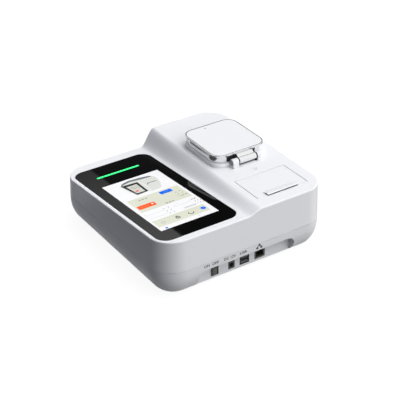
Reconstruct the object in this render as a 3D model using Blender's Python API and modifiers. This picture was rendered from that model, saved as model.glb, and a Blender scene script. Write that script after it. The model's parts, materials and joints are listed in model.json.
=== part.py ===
"""Benchtop immunoassay analyzer: a two-level case with a touch panel, a flip lid over a cassette
tray, a scan head below the tray, a printer under its own door, and a recessed row of ports.

Metres, +Z up. The origin is the centre of the footprint, on the surface the feet stand on.
The ports are on the -Y side. The low deck with the touch panel is on the -X side."""

import math

import bmesh
import bpy
from mathutils import Matrix, Vector

# Clearances shared by all pieces
SEAT_GAP = 0.0003
RUN_GAP = 0.0003
OVERRUN = 0.002
WELD_DISTANCE = 0.000001
RIM_WELD_DISTANCE = 0.00005

# Round-off of faceted forms
ROD_SIDES = 24
SMALL_ROD_SIDES = 16
PEG_SIDES = 10
HEX_SIDES = 6
CORNER_STEPS = 6
SMALL_CORNER_STEPS = 3
ROLL_STEPS = 8
BOTTOM_EDGE_STEPS = 6
STEP_STEPS = 10
DECK_STEPS = 6
RIM_STEPS = 3
SHARP_ANGLE = math.radians(32)
RIM_ANGLE = math.radians(50)

# Case
BODY_WIDTH = 0.2556
BODY_DEPTH = 0.2630
CORNER_RADIUS = 0.0340
FOOT_STANDOFF = 0.0025
PARTING_HEIGHT = 0.0432
BOTTOM_EDGE_RUN = 0.0245
BOTTOM_EDGE_RISE = 0.0340
WALL_DRAFT_SHARE = 0.031
WALL = 0.0025
LOW_DECK_WALL = 0.0045
HIGH_DECK_WALL = 0.0030
RIM_FILLET = 0.0026
SEAM_GAP = 0.0005
LIP_HEIGHT = 0.0030
LIP_GAP = 0.0003

# Decks: the low one falls away from the port side, the high one is level
HIGH_DECK_HEIGHT = 0.0942
NEAR_STEP_RISE = 0.0061
LOW_DECK_HEIGHT = HIGH_DECK_HEIGHT - NEAR_STEP_RISE
LOW_DECK_FALL = 0.0201
STEP_LID_DISTANCE = 0.00465
STEP_RUN = 0.0220
STEP_WALL_SHIFT = 0.0025

# Feet and case screws
FOOT_RADIUS = 0.0060
FOOT_INSET = 0.0440
FOOT_RECESS = 0.0008
SCREW_INSET = 0.0278
INNER_SCREW_STEP_DISTANCE = 0.0210
INNER_SCREW_INSET = 0.0890
BOSS_RADIUS = 0.0045
SCREW_HEAD_RADIUS = 0.0028
SCREW_HEAD_HEIGHT = 0.0020
SCREW_RADIUS = 0.0015
SCREW_LENGTH = 0.0140
SCREW_SEAT_DEPTH = 0.0080
DRIVE_RECESS_RADIUS = 0.0012
DRIVE_RECESS_DEPTH = 0.0010
BOSS_LAP = 0.0010

# Port recess and what it holds
RECESS_HALF_WIDTH = 0.0750
RECESS_TOP = 0.0331
RECESS_DEPTH = 0.0135
RECESS_CORNER = 0.0130
RECESS_WALL = 0.0025
PORT_GAP = 0.0003
BOARD_TOP = 0.0095
BOARD_THICKNESS = 0.0016
BOARD_LEFT_X = -0.0600
BOARD_WIDTH = 0.1080
BOARD_DEPTH = 0.0550
BOARD_BACK_GAP = 0.0005
BOARD_PEG_RADIUS = 0.0030
BOARD_PEG_INSET = 0.0060
USB_X = 0.0031
USB_WIDTH = 0.0146
USB_DEPTH = 0.0175
USB_HEIGHT = 0.0156
USB_SLOT_WIDTH = 0.0126
USB_SLOT_HEIGHT = 0.0052
USB_SLOT_SPACING = 0.0076
USB_SLOT_DEPTH = 0.0140
LAN_X = 0.0274
LAN_WIDTH = 0.0162
LAN_DEPTH = 0.0212
LAN_HEIGHT = 0.0134
LAN_MOUTH_WIDTH = 0.0118
LAN_MOUTH_HEIGHT = 0.0084
LAN_MOUTH_DEPTH = 0.0140
LAN_KEY_WIDTH = 0.0060
LAN_KEY_HEIGHT = 0.0020
DC_X = -0.0174
DC_WIDTH = 0.0096
DC_DEPTH = 0.0140
DC_HEIGHT = 0.0110
DC_BORE_RADIUS = 0.0031
DC_BORE_DEPTH = 0.0100
DC_PIN_RADIUS = 0.0010
DC_PIN_LENGTH = 0.0085
SWITCH_X = -0.0437
SWITCH_HEIGHT = 0.0166
SWITCH_BEZEL_WIDTH = 0.0128
SWITCH_BEZEL_HEIGHT = 0.0144
SWITCH_BEZEL_THICKNESS = 0.0010
SWITCH_BODY_DEPTH = 0.0130
SWITCH_WALL = 0.0007
SWITCH_CAVITY_DEPTH = 0.0080
ROCKER_WIDTH = 0.0084
ROCKER_DEPTH = 0.0026
ROCKER_RIDGE = 0.0006
ROCKER_BACK = 0.0015
ROCKER_AXIS_DEPTH = 0.0008

# Touch panel, in the tilted plane of the low deck
PANEL_SIDE_MARGIN = 0.0065
PANEL_STEP_MARGIN = 0.0030
PANEL_NEAR_MARGIN = 0.01255
PANEL_FAR_MARGIN = 0.0180
PANEL_CORNER = 0.0160
PANEL_GAP = 0.0003
GLASS_THICKNESS = 0.0016
SCREEN_LEFT_MARGIN = 0.0101
SCREEN_RIGHT_MARGIN = 0.0112
SCREEN_NEAR_MARGIN = 0.02095
SCREEN_FAR_MARGIN = 0.0535
SCREEN_THICKNESS = 0.0055
SCREEN_CORNER = 0.0015
LIGHT_LEFT_MARGIN = 0.0207
LIGHT_RIGHT_MARGIN = 0.0266
LIGHT_FAR_MARGIN = 0.0308
LIGHT_WIDTH = 0.0060
LIGHT_BOARD_MARGIN = 0.0040
LIGHT_BOARD_THICKNESS = 0.0010

# Lid, its ring and its hinge
LID_RIGHT_MARGIN = 0.01855
LID_Y = 0.02305
LID_WIDTH = 0.0836
LID_DEPTH = 0.0860
LID_CORNER = 0.0155
LID_EDGE_FILLET = 0.0010
COVER_THICKNESS = 0.0030
BAND_HEIGHT = 0.0096
BAND_RECESS = 0.0020
BAND_WALL = 0.0030
LINER_THICKNESS = 0.0030
RING_HEIGHT = 0.0044
RING_SKIRT = 0.0012
HINGE_SHIFT = 0.00215
HINGE_OFFSET = 0.0051
HINGE_RISE = 0.0068
HINGE_LENGTH = 0.0456
LEFT_KNUCKLE_LENGTH = 0.0092
RIGHT_KNUCKLE_LENGTH = 0.0057
KNUCKLE_RADIUS = 0.0048
BARREL_RADIUS = 0.0046
HINGE_PIN_RADIUS = 0.0015
HINGE_PIN_END_INSET = 0.0010
HINGE_PLATE_THICKNESS = 0.0015
HINGE_PLATE_REACH = 0.0060
LEAF_END_INSET = 0.0007
LEAF_THICKNESS = 0.0046

# Chamber under the lid
RING_SIDE_BORDER = 0.0085
RING_END_BORDER = 0.0067
WELL_WIDTH = LID_WIDTH - 2 * RING_SIDE_BORDER
WELL_LENGTH = LID_DEPTH - 2 * RING_END_BORDER
WELL_CORNER = 0.0060
WELL_WALL = 0.0015
WELL_FLOOR_DEPTH = 0.0082
WELL_FLOOR_THICKNESS = 0.0020
FLANGE_THICKNESS = 0.0012
WINDOW_SIDE_MARGIN = 0.0023
WINDOW_END_MARGIN = 0.0063
WINDOW_WIDTH = WELL_WIDTH - 2 * WINDOW_SIDE_MARGIN
WINDOW_LENGTH = WELL_LENGTH - 2 * WINDOW_END_MARGIN
WINDOW_THICKNESS = 0.0015
WINDOW_LEDGE = 0.0030
TRAY_HEIGHT = 0.0065
LANE_COUNT = 3
LANE_WALL = 0.0012
LANE_END_WALL = 0.0010
LANE_WIDTH = (WELL_WIDTH - (LANE_COUNT + 1) * LANE_WALL) / LANE_COUNT
LANE_PITCH = LANE_WIDTH + LANE_WALL
LANE_LENGTH = WELL_LENGTH - 2 * LANE_END_WALL
LANE_DEPTH = 0.0053
LANE_CORNER = 0.0050
READ_SLOT_WIDTH = 0.0080
READ_SLOT_END_MARGIN = 0.0080
READ_SLOT_LENGTH = WINDOW_LENGTH - 2 * READ_SLOT_END_MARGIN

# Scan head below the chamber
FRAME_SIDE_MARGIN = 0.0013
FRAME_WIDTH = WELL_WIDTH - 2 * FRAME_SIDE_MARGIN
FRAME_PLATE = 0.0030
FRAME_BASE_DROP = 0.0300
FRAME_BASE_THICKNESS = 0.0020
GUIDE_DROP = 0.0160
GUIDE_INSET = 0.0080
GUIDE_SPACING = FRAME_WIDTH - 2 * GUIDE_INSET
GUIDE_RADIUS = 0.0025
SCREW_DROP = 0.0160
LEAD_SCREW_RADIUS = 0.0030
CARRIAGE_SIDE_MARGIN = 0.0020
CARRIAGE_WIDTH = FRAME_WIDTH - 2 * CARRIAGE_SIDE_MARGIN
CARRIAGE_LENGTH = 0.0240
CARRIAGE_HEIGHT = 0.0160
CARRIAGE_DROP = 0.0080
CARRIAGE_START_GAP = 0.0020
LENS_RADIUS = 0.0045
LENS_HEIGHT = 0.0047
LENS_SEAT_DEPTH = 0.0020
OPTICS_THICKNESS = 0.0016
OPTICS_MARGIN = 0.0020
SCAN_MOTOR_RADIUS = 0.0110
SCAN_MOTOR_LENGTH = 0.0150
SCAN_MOTOR_BORE = 0.0030

# Printer door
DOOR_LEFT_INSET = 0.00305
DOOR_RIGHT_INSET = 0.00095
DOOR_NEAR_INSET = 0.0225
DOOR_LENGTH = 0.0522
DOOR_THICKNESS = 0.0026
DOOR_SEAM = 0.0004
DOOR_ROLL_RADIUS = 0.0020
DOOR_PIN_RADIUS = 0.0008
DOOR_PIN_REACH = 0.0015
COLLAR_WALL = 0.0025
COLLAR_DEPTH = 0.0062
TONGUE_WIDTH = 0.0490
TONGUE_RUN = 0.0085
TONGUE_RISE = 0.0026
TONGUE_THICKNESS = 0.0012
TONGUE_CUT_INSET = 0.0010
TONGUE_LAP = 0.0012

# Printer works
PAPER_WIDTH = 0.0440
PAPER_SIDE_GAP = 0.0010
ROLL_RADIUS = 0.0190
CORE_RADIUS = 0.0060
PLATEN_INSET = 0.0080
PLATEN_DROP = 0.0097
PLATEN_OVERHANG = 0.0020
PLATEN_RADIUS = 0.0050
SHAFT_RADIUS = 0.0020
SHAFT_END = 0.0010
BRACKET_THICKNESS = 0.0020
BRACKET_RADIUS = 0.0035
GEAR_TEETH = 20
GEAR_MODULE = 0.0006
GEAR_FACE = 0.0040
GEAR_DISTANCE_EXTRA = 0.0001
GEAR_BACKLASH = 0.0001
GEAR_FLANK_STEPS = 2
PRESSURE_ANGLE = math.radians(20)
ADDENDUM_SHARE = 1.0
DEDENDUM_SHARE = 1.25
PRINTER_WALL = 0.0020
PRINTER_FLOOR_DROP = 0.0442
BAY_DEEP_INSET = 0.0085
BAY_SHALLOW_REACH = 0.0175
BAY_SHALLOW_DROP = 0.0302
BAY_SIDE_ROOM = 0.0035
BAY_GEAR_ROOM = 0.0090
HEAD_THICKNESS = 0.0020
HEAD_REACH = 0.0115
HEAD_NEAR_LEG = 0.0020
TEAR_BAR_WIDTH = 0.0480
TEAR_BAR_THICKNESS = 0.0008
TEAR_BAR_HEIGHT = 0.0045
TEAR_BAR_DROP = 0.0004
PRINTER_MOTOR_RADIUS = 0.0100
PRINTER_MOTOR_LENGTH = 0.0150
PRINTER_MOTOR_BORE = 0.0020

WORLD = Matrix.Identity(4)
ALONG_X = Matrix.Rotation(math.pi / 2, 4, "Y")
ALONG_Y = Matrix.Rotation(-math.pi / 2, 4, "X")
ALONG_Z = Matrix.Identity(4)
AXES = {"X": ALONG_X, "Y": ALONG_Y, "Z": ALONG_Z}

PARTS_NAME = "immunoassay_analyzer"
CUTTERS_NAME = "cutters"


# Scene and collections
def clear_scene():
    for obj in list(bpy.data.objects):
        bpy.data.objects.remove(obj)


def collection(name):
    made = bpy.data.collections.new(name)
    bpy.context.scene.collection.children.link(made)
    return made


def add_object(name, data, centre=(0, 0, 0), frame=WORLD):
    obj = bpy.data.objects.new(name, data)
    obj.matrix_world = frame @ Matrix.Translation(centre)
    parts.objects.link(obj)
    return obj


def mesh_object(name, bm, centre=(0, 0, 0), frame=WORLD):
    mesh = bpy.data.meshes.new(name)
    bm.to_mesh(mesh)
    bm.free()
    return add_object(name, mesh, centre, frame)


def axis_empty(name, location):
    return add_object(name, None, location)


def attach(empty, *objects):
    """Parents the objects, and the hidden tools that shape them, to the empty of their joint."""
    bpy.context.view_layer.update()
    for obj in objects:
        tools = [m.object for m in obj.modifiers if m.type == "BOOLEAN"]
        for child in [obj] + tools:
            child.parent = empty
            child.matrix_parent_inverse = empty.matrix_world.inverted()


# Basic solids
def block(name, low, high, frame=WORLD):
    bm = bmesh.new()
    bmesh.ops.create_cube(bm, size=1)
    size = [b - a for a, b in zip(low, high)]
    bmesh.ops.scale(bm, vec=size, verts=bm.verts)
    return mesh_object(name, bm, [(a + b) / 2 for a, b in zip(low, high)], frame)


def rounded_block(name, low, high, radius, axis="Z", steps=SMALL_CORNER_STEPS, frame=WORLD, rim=0):
    """A block whose edges along one axis are rounded, and whose top rim can be too."""
    bm = bmesh.new()
    bmesh.ops.create_cube(bm, size=1)
    size = [b - a for a, b in zip(low, high)]
    bmesh.ops.scale(bm, vec=size, verts=bm.verts)
    index = "XYZ".index(axis)
    edges = [e for e in bm.edges if abs((e.verts[0].co - e.verts[1].co)[index]) > size[index] / 2]
    bmesh.ops.bevel(bm, geom=edges, offset=radius, segments=steps, affect="EDGES", profile=0.5)
    if rim:
        top = max(v.co.z for v in bm.verts)
        edges = [e for e in bm.edges if min(v.co.z for v in e.verts) > top - WELD_DISTANCE]
        bmesh.ops.bevel(bm, geom=edges, offset=rim, segments=RIM_STEPS, affect="EDGES", profile=0.5)
    return mesh_object(name, bm, [(a + b) / 2 for a, b in zip(low, high)], frame)


def rod(name, centre, radius, length, axis="Z", sides=ROD_SIDES, frame=WORLD):
    bm = bmesh.new()
    bmesh.ops.create_cone(
        bm, cap_ends=True, segments=sides, radius1=radius, radius2=radius, depth=length
    )
    bmesh.ops.transform(bm, matrix=AXES[axis], verts=bm.verts)
    return mesh_object(name, bm, centre, frame)


def rod_between(name, start, end, other_axes, radius, axis="X", sides=ROD_SIDES):
    """A rod along one axis from start to end, at the given places on the two other axes."""
    centre = list(other_axes)
    centre.insert("XYZ".index(axis), (start + end) / 2)
    return rod(name, centre, radius, end - start, axis, sides)


def prism(name, outline, start, end):
    """A flat outline in the YZ plane, given thickness along X from start to end."""
    curve = bpy.data.curves.new(name, "CURVE")
    curve.dimensions = "2D"
    curve.fill_mode = "BOTH"
    curve.extrude = (end - start) / 2
    spline = curve.splines.new("POLY")
    spline.points.add(len(outline) - 1)
    for point, (y, z) in zip(spline.points, outline):
        point.co = (y, z, 0, 1)
    spline.use_cyclic_u = True
    guide = add_object(name, curve)
    bpy.context.view_layer.update()
    mesh = bpy.data.meshes.new_from_object(guide.evaluated_get(bpy.context.evaluated_depsgraph_get()))
    bpy.data.objects.remove(guide)
    bm = bmesh.new()
    bm.from_mesh(mesh)
    bpy.data.meshes.remove(mesh)
    bmesh.ops.remove_doubles(bm, verts=bm.verts, dist=WELD_DISTANCE)
    turn = Matrix(((0, 0, 1, (start + end) / 2), (1, 0, 0, 0), (0, 1, 0, 0), (0, 0, 0, 1)))
    bmesh.ops.transform(bm, matrix=turn, verts=bm.verts)
    bmesh.ops.recalc_face_normals(bm, faces=bm.faces)
    return mesh_object(name, bm)


def loft(name, rings):
    """A closed solid through rings that all have the same number of points."""
    bm = bmesh.new()
    made = [[bm.verts.new(point) for point in ring] for ring in rings]
    for lower, upper in zip(made, made[1:]):
        for i, vert in enumerate(lower):
            j = (i + 1) % len(lower)
            bm.faces.new((vert, lower[j], upper[j], upper[i]))
    bm.faces.new(made[0])
    bm.faces.new(made[-1])
    bmesh.ops.recalc_face_normals(bm, faces=bm.faces)
    return mesh_object(name, bm)


# Joining and cutting
def combine(target, tool, operation):
    modifier = target.modifiers.new(tool.name, "BOOLEAN")
    modifier.operation = operation
    modifier.solver = "EXACT"
    modifier.object = tool
    if tool.name not in cutters.objects:
        parts.objects.unlink(tool)
        cutters.objects.link(tool)
    tool.display_type = "WIRE"
    tool.hide_render = True


def cut(target, *tools):
    for tool in tools:
        combine(target, tool, "DIFFERENCE")


def unite(target, *tools):
    for tool in tools:
        combine(target, tool, "UNION")


def keep_inside(target, tool):
    combine(target, tool, "INTERSECT")


def finish(obj, colour, roughness, metallic=0.0):
    """Gives the piece a Principled BSDF material of its own and smooth round faces."""
    material = bpy.data.materials.new(obj.name)
    material.use_nodes = True
    shader = material.node_tree.nodes["Principled BSDF"]
    shader.inputs["Base Color"].default_value = (*colour, 1.0)
    shader.inputs["Roughness"].default_value = roughness
    shader.inputs["Metallic"].default_value = metallic
    obj.data.materials.append(material)
    obj.data.shade_smooth()
    obj.data.set_sharp_from_angle(angle=SHARP_ANGLE)
    return obj


# Case surfaces
def rounded_outline(half_x, half_y, radius, steps):
    points = []
    corners = ((1, -1, -90), (1, 1, 0), (-1, 1, 90), (-1, -1, 180))
    for side_x, side_y, start in corners:
        for i in range(steps + 1):
            angle = math.radians(start + 90 * i / steps)
            x = side_x * (half_x - radius) + radius * math.cos(angle)
            y = side_y * (half_y - radius) + radius * math.sin(angle)
            points.append((x, y))
    return points


def body_rings(inset, top):
    """Sections of the case surface, or of one set in by a distance, from the floor up to a height."""
    half_x = BODY_WIDTH / 2 - inset
    half_y = BODY_DEPTH / 2 - inset
    radius = CORNER_RADIUS - inset
    run = BOTTOM_EDGE_RUN - inset
    rise = BOTTOM_EDGE_RISE - inset
    levels = []
    for i in range(BOTTOM_EDGE_STEPS + 1):
        angle = math.pi / 2 * i / BOTTOM_EDGE_STEPS
        levels.append((run * (1 - math.sin(angle)), FOOT_STANDOFF + inset + rise * (1 - math.cos(angle))))
    levels.append((0, PARTING_HEIGHT))
    levels.append((WALL_DRAFT_SHARE * (top - PARTING_HEIGHT), top))
    rings = []
    for inward, z in levels:
        corner = radius - min(inward, run)
        outline = rounded_outline(half_x - inward, half_y - inward, corner, CORNER_STEPS)
        rings.append([(x, y, z) for x, y in outline])
    return rings


def low_deck_height(y):
    return LOW_DECK_HEIGHT - LOW_DECK_FALL * (y / BODY_DEPTH + 0.5)


def deck_height(x, y, shift=0):
    share = min(max((x - STEP_FOOT_X - shift) / STEP_RUN, 0), 1)
    blend = share * share * (3 - 2 * share)
    return low_deck_height(y) * (1 - blend) + HIGH_DECK_HEIGHT * blend


def deck_solid(name, low_drop=0, high_drop=0, shift=0):
    """Everything below the two decks and the step between them."""
    reach_x = BODY_WIDTH / 2 + OVERRUN
    reach_y = BODY_DEPTH / 2 + OVERRUN
    stations = [STEP_FOOT_X + shift + STEP_RUN * i / STEP_STEPS for i in range(STEP_STEPS + 1)]
    rings = []
    for j in range(DECK_STEPS + 1):
        y = -reach_y + 2 * reach_y * j / DECK_STEPS
        ring = [(reach_x, y, -OVERRUN), (-reach_x, y, -OVERRUN)]
        for x in [-reach_x] + stations + [reach_x]:
            share = min(max((x - STEP_FOOT_X - shift) / STEP_RUN, 0), 1)
            drop = low_drop * (1 - share) + high_drop * share
            ring.append((x, y, deck_height(x, y, shift) - drop))
        rings.append(ring)
    return loft(name, rings)


def case_column(name, inset=0):
    return loft(name, body_rings(inset, HIGH_DECK_HEIGHT + OVERRUN))


def slab_between(name, low, high):
    reach_x = BODY_WIDTH / 2 + OVERRUN
    reach_y = BODY_DEPTH / 2 + OVERRUN
    return block(name, (-reach_x, -reach_y, low), (reach_x, reach_y, high))


# Places that several pieces share
PORT_FACE_Y = -BODY_DEPTH / 2
LID_X = BODY_WIDTH / 2 - LID_RIGHT_MARGIN - LID_WIDTH / 2
STEP_FOOT_X = LID_X - LID_WIDTH / 2 - STEP_LID_DISTANCE - STEP_RUN
PANEL_LEFT_X = -BODY_WIDTH / 2 + PANEL_SIDE_MARGIN
PANEL_RIGHT_X = STEP_FOOT_X - PANEL_STEP_MARGIN
PANEL_NEAR_Y = -BODY_DEPTH / 2 + PANEL_NEAR_MARGIN
PANEL_FAR_Y = BODY_DEPTH / 2 - PANEL_FAR_MARGIN
SCREEN_LEFT_X = PANEL_LEFT_X + SCREEN_LEFT_MARGIN
SCREEN_RIGHT_X = PANEL_RIGHT_X - SCREEN_RIGHT_MARGIN
SCREEN_NEAR_Y = PANEL_NEAR_Y + SCREEN_NEAR_MARGIN
SCREEN_FAR_Y = PANEL_FAR_Y - SCREEN_FAR_MARGIN
LIGHT_LEFT_X = PANEL_LEFT_X + LIGHT_LEFT_MARGIN
LIGHT_RIGHT_X = PANEL_RIGHT_X - LIGHT_RIGHT_MARGIN
LIGHT_Y = PANEL_FAR_Y - LIGHT_FAR_MARGIN
LIGHT_NEAR_Y = LIGHT_Y - LIGHT_WIDTH / 2
LIGHT_FAR_Y = LIGHT_Y + LIGHT_WIDTH / 2
PANEL = (PANEL_LEFT_X, PANEL_RIGHT_X, PANEL_NEAR_Y, PANEL_FAR_Y)
SCREEN = (SCREEN_LEFT_X, SCREEN_RIGHT_X, SCREEN_NEAR_Y, SCREEN_FAR_Y)
LIGHT = (LIGHT_LEFT_X, LIGHT_RIGHT_X, LIGHT_NEAR_Y, LIGHT_FAR_Y)
HINGE_X = LID_X + HINGE_SHIFT
DOOR_LEFT_X = LID_X - LID_WIDTH / 2 + DOOR_LEFT_INSET
DOOR_RIGHT_X = LID_X + LID_WIDTH / 2 - DOOR_RIGHT_INSET
DOOR_X = (DOOR_LEFT_X + DOOR_RIGHT_X) / 2
DOOR_WIDTH = DOOR_RIGHT_X - DOOR_LEFT_X
DOOR_NEAR_Y = PORT_FACE_Y + DOOR_NEAR_INSET
PLATE_Y = PORT_FACE_Y + RECESS_DEPTH
FLOOR_TOP = FOOT_STANDOFF + WALL
LOW_DECK_TILT = math.atan(LOW_DECK_FALL / BODY_DEPTH)
LOW_DECK_FRAME = Matrix.Translation((0, 0, LOW_DECK_HEIGHT - LOW_DECK_FALL / 2)) @ Matrix.Rotation(
    -LOW_DECK_TILT, 4, "X"
)
RING_LOW = HIGH_DECK_HEIGHT + SEAT_GAP
RING_TOP = RING_LOW + RING_HEIGHT
BAND_LOW = RING_TOP + SEAT_GAP
BAND_TOP = BAND_LOW + BAND_HEIGHT
COVER_LOW = BAND_TOP + SEAT_GAP
LID_HINGE_Y = LID_Y - LID_DEPTH / 2 - HINGE_OFFSET
LID_HINGE_Z = HIGH_DECK_HEIGHT + HINGE_RISE
WELL_FLOOR_TOP = HIGH_DECK_HEIGHT - WELL_FLOOR_DEPTH
WELL_FLOOR_LOW = WELL_FLOOR_TOP - WELL_FLOOR_THICKNESS
SCAN_TOP = WELL_FLOOR_LOW - SEAT_GAP
SCAN_NEAR_Y = LID_Y - WELL_LENGTH / 2 - WELL_WALL
SCAN_FAR_Y = LID_Y + WELL_LENGTH / 2 + WELL_WALL
CARRIAGE_NEAR_Y = SCAN_NEAR_Y + FRAME_PLATE + CARRIAGE_START_GAP
CARRIAGE_Y = CARRIAGE_NEAR_Y + CARRIAGE_LENGTH / 2
CARRIAGE_TOP = WELL_FLOOR_LOW - CARRIAGE_DROP
CARRIAGE_LOW = CARRIAGE_TOP - CARRIAGE_HEIGHT
GUIDE_Z = WELL_FLOOR_LOW - GUIDE_DROP
LEAD_SCREW_Z = WELL_FLOOR_LOW - SCREW_DROP
SCAN_MOTOR_Y = SCAN_FAR_Y + SEAT_GAP
DOOR_FAR_Y = DOOR_NEAR_Y + DOOR_LENGTH
DOOR_HINGE_Y = DOOR_FAR_Y - DOOR_ROLL_RADIUS
DOOR_HINGE_Z = HIGH_DECK_HEIGHT - DOOR_ROLL_RADIUS
DOOR_UNDERSIDE = HIGH_DECK_HEIGHT - DOOR_THICKNESS
COLLAR_LOW = HIGH_DECK_HEIGHT - COLLAR_DEPTH
PLATEN_Y = DOOR_NEAR_Y + PLATEN_INSET
PLATEN_Z = HIGH_DECK_HEIGHT - PLATEN_DROP
PLATEN_HALF = PAPER_WIDTH / 2 + PLATEN_OVERHANG
BRACKET_INNER = PLATEN_HALF + RUN_GAP
BRACKET_OUTER = BRACKET_INNER + BRACKET_THICKNESS
GEAR_LEFT_X = DOOR_X + BRACKET_OUTER + RUN_GAP
GEAR_RIGHT_X = GEAR_LEFT_X + GEAR_FACE
GEAR_DISTANCE = GEAR_MODULE * GEAR_TEETH + GEAR_DISTANCE_EXTRA
PRINTER_TOP = COLLAR_LOW - SEAT_GAP
BAY_FLOOR = HIGH_DECK_HEIGHT - PRINTER_FLOOR_DROP
SHALLOW_FLOOR = HIGH_DECK_HEIGHT - BAY_SHALLOW_DROP
BAY_NEAR_Y = DOOR_NEAR_Y - DOOR_SEAM
BAY_DEEP_NEAR_Y = DOOR_NEAR_Y + BAY_DEEP_INSET
BAY_SHALLOW_FAR_Y = DOOR_NEAR_Y + BAY_SHALLOW_REACH
HEAD_FAR_Y = DOOR_NEAR_Y + HEAD_REACH
BAY_HALF = PAPER_WIDTH / 2 + PAPER_SIDE_GAP
BAY_LEFT_X = DOOR_X - BRACKET_OUTER - BAY_SIDE_ROOM
BAY_RIGHT_X = DOOR_X + BRACKET_OUTER + BAY_GEAR_ROOM
ROLL_Z = BAY_FLOOR + SEAT_GAP + ROLL_RADIUS
BAY_FAR_Y = DOOR_HINGE_Y - DOOR_ROLL_RADIUS
ROLL_Y = BAY_FAR_Y - SEAT_GAP - ROLL_RADIUS


def gear_line():
    """Unit vector, in Y and Z, along which the platen first leaves the drive gear as the door opens."""
    arm = Vector((PLATEN_Y - DOOR_HINGE_Y, PLATEN_Z - DOOR_HINGE_Z))
    return Vector((arm.y, -arm.x)).normalized()


DRIVE_Y = PLATEN_Y - gear_line().x * GEAR_DISTANCE
DRIVE_Z = PLATEN_Z - gear_line().y * GEAR_DISTANCE


def screw_places():
    """Each case screw's place: three near the corners, one between the board and the scan head."""
    side = BODY_WIDTH / 2 - SCREW_INSET
    end = BODY_DEPTH / 2 - SCREW_INSET
    beside_step = STEP_FOOT_X + INNER_SCREW_STEP_DISTANCE
    return ((-side, -end), (-side, end), (side, end), (beside_step, -BODY_DEPTH / 2 + INNER_SCREW_INSET))


def foot_places():
    side = BODY_WIDTH / 2 - FOOT_INSET
    end = BODY_DEPTH / 2 - FOOT_INSET
    return [(sx * side, sy * end) for sy in (-1, 1) for sx in (-1, 1)]


def board_peg_places():
    near = PLATE_Y + RECESS_WALL + BOARD_BACK_GAP
    xs = (BOARD_LEFT_X + BOARD_PEG_INSET, BOARD_LEFT_X + BOARD_WIDTH - BOARD_PEG_INSET)
    ys = (near + BOARD_PEG_INSET, near + BOARD_DEPTH - BOARD_PEG_INSET)
    return [(x, y) for x in xs for y in ys]


# Lower shell
def make_recess_tool(name, growth=0):
    low = (-RECESS_HALF_WIDTH - growth, PORT_FACE_Y - OVERRUN, -RECESS_TOP)
    high = (RECESS_HALF_WIDTH + growth, PLATE_Y + growth, RECESS_TOP + growth)
    return rounded_block(name, low, high, RECESS_CORNER + growth, "Y", CORNER_STEPS)


def plate_hole(name, x, z_low, width, height):
    low = (x - width / 2 - PORT_GAP, PLATE_Y - OVERRUN, z_low - PORT_GAP)
    high = (x + width / 2 + PORT_GAP, PLATE_Y + RECESS_WALL + OVERRUN, z_low + height + PORT_GAP)
    return block(name, low, high)


def make_lower_shell():
    shell = case_column("lower_shell")
    keep_inside(shell, slab_between("lower_half", 0, PARTING_HEIGHT))
    lip = case_column("lower_lip", WALL / 2 + LIP_GAP)
    keep_inside(lip, slab_between("lip_slab", PARTING_HEIGHT - LIP_HEIGHT, PARTING_HEIGHT + LIP_HEIGHT))
    unite(shell, lip)
    hollow = case_column("lower_hollow", WALL)
    cut(hollow, make_recess_tool("recess_lining", RECESS_WALL))
    cut(shell, hollow)
    for i, (x, y) in enumerate(screw_places()):
        top = PARTING_HEIGHT - SEAT_GAP
        low = FLOOR_TOP - BOSS_LAP
        unite(shell, rod_between(f"lower_boss_{i}", low, top, (x, y), BOSS_RADIUS, "Z", SMALL_ROD_SIDES))
    board_low = BOARD_TOP - BOARD_THICKNESS
    for i, (x, y) in enumerate(board_peg_places()):
        peg_top = board_low - SEAT_GAP
        low = FLOOR_TOP - BOSS_LAP
        unite(shell, rod_between(f"board_peg_{i}", low, peg_top, (x, y), BOARD_PEG_RADIUS, "Z", PEG_SIDES))
    cut(shell, make_recess_tool("recess"))
    for i, (x, y) in enumerate(screw_places()):
        seat = PARTING_HEIGHT - SCREW_SEAT_DEPTH
        head_room = SCREW_HEAD_RADIUS + RUN_GAP
        cut(shell, rod_between(f"screw_well_{i}", 0, seat, (x, y), head_room, "Z", SMALL_ROD_SIDES))
        through = SCREW_RADIUS + RUN_GAP
        cut(shell, rod_between(f"screw_hole_{i}", 0, PARTING_HEIGHT, (x, y), through, "Z", SMALL_ROD_SIDES))
    for i, (x, y) in enumerate(foot_places()):
        depth = FOOT_STANDOFF + FOOT_RECESS
        cut(shell, rod_between(f"foot_recess_{i}", 0, depth, (x, y), FOOT_RADIUS + SEAT_GAP, "Z"))
    seat = BOARD_TOP + SEAT_GAP
    cut(shell, plate_hole("usb_hole", USB_X, seat, USB_WIDTH, USB_HEIGHT))
    cut(shell, plate_hole("lan_hole", LAN_X, seat, LAN_WIDTH, LAN_HEIGHT))
    cut(shell, plate_hole("dc_hole", DC_X, seat, DC_WIDTH, DC_HEIGHT))
    body_height = SWITCH_BEZEL_HEIGHT - 2 * SWITCH_BEZEL_THICKNESS
    body_width = SWITCH_BEZEL_WIDTH - 2 * SWITCH_BEZEL_THICKNESS
    cut(shell, plate_hole("switch_hole", SWITCH_X, SWITCH_HEIGHT - body_height / 2, body_width, body_height))
    return finish(shell, (0.86, 0.86, 0.88), 0.38)


# Upper shell
def deck_block(name, edges, growth, low, high, radius, steps=CORNER_STEPS):
    """A block in the plane of the low deck, with rounded corners, grown out past its four edges."""
    left, right, near, far = edges
    corner_low = (left - growth, near - growth, low)
    corner_high = (right + growth, far + growth, high)
    return rounded_block(name, corner_low, corner_high, radius, "Z", steps, LOW_DECK_FRAME)


def lid_block(name, width, length, low, high, radius, steps=CORNER_STEPS, rim=0):
    """A block with rounded corners, centred on the lid."""
    corner_low = (LID_X - width / 2, LID_Y - length / 2, low)
    corner_high = (LID_X + width / 2, LID_Y + length / 2, high)
    return rounded_block(name, corner_low, corner_high, radius, "Z", steps, WORLD, rim)


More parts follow.
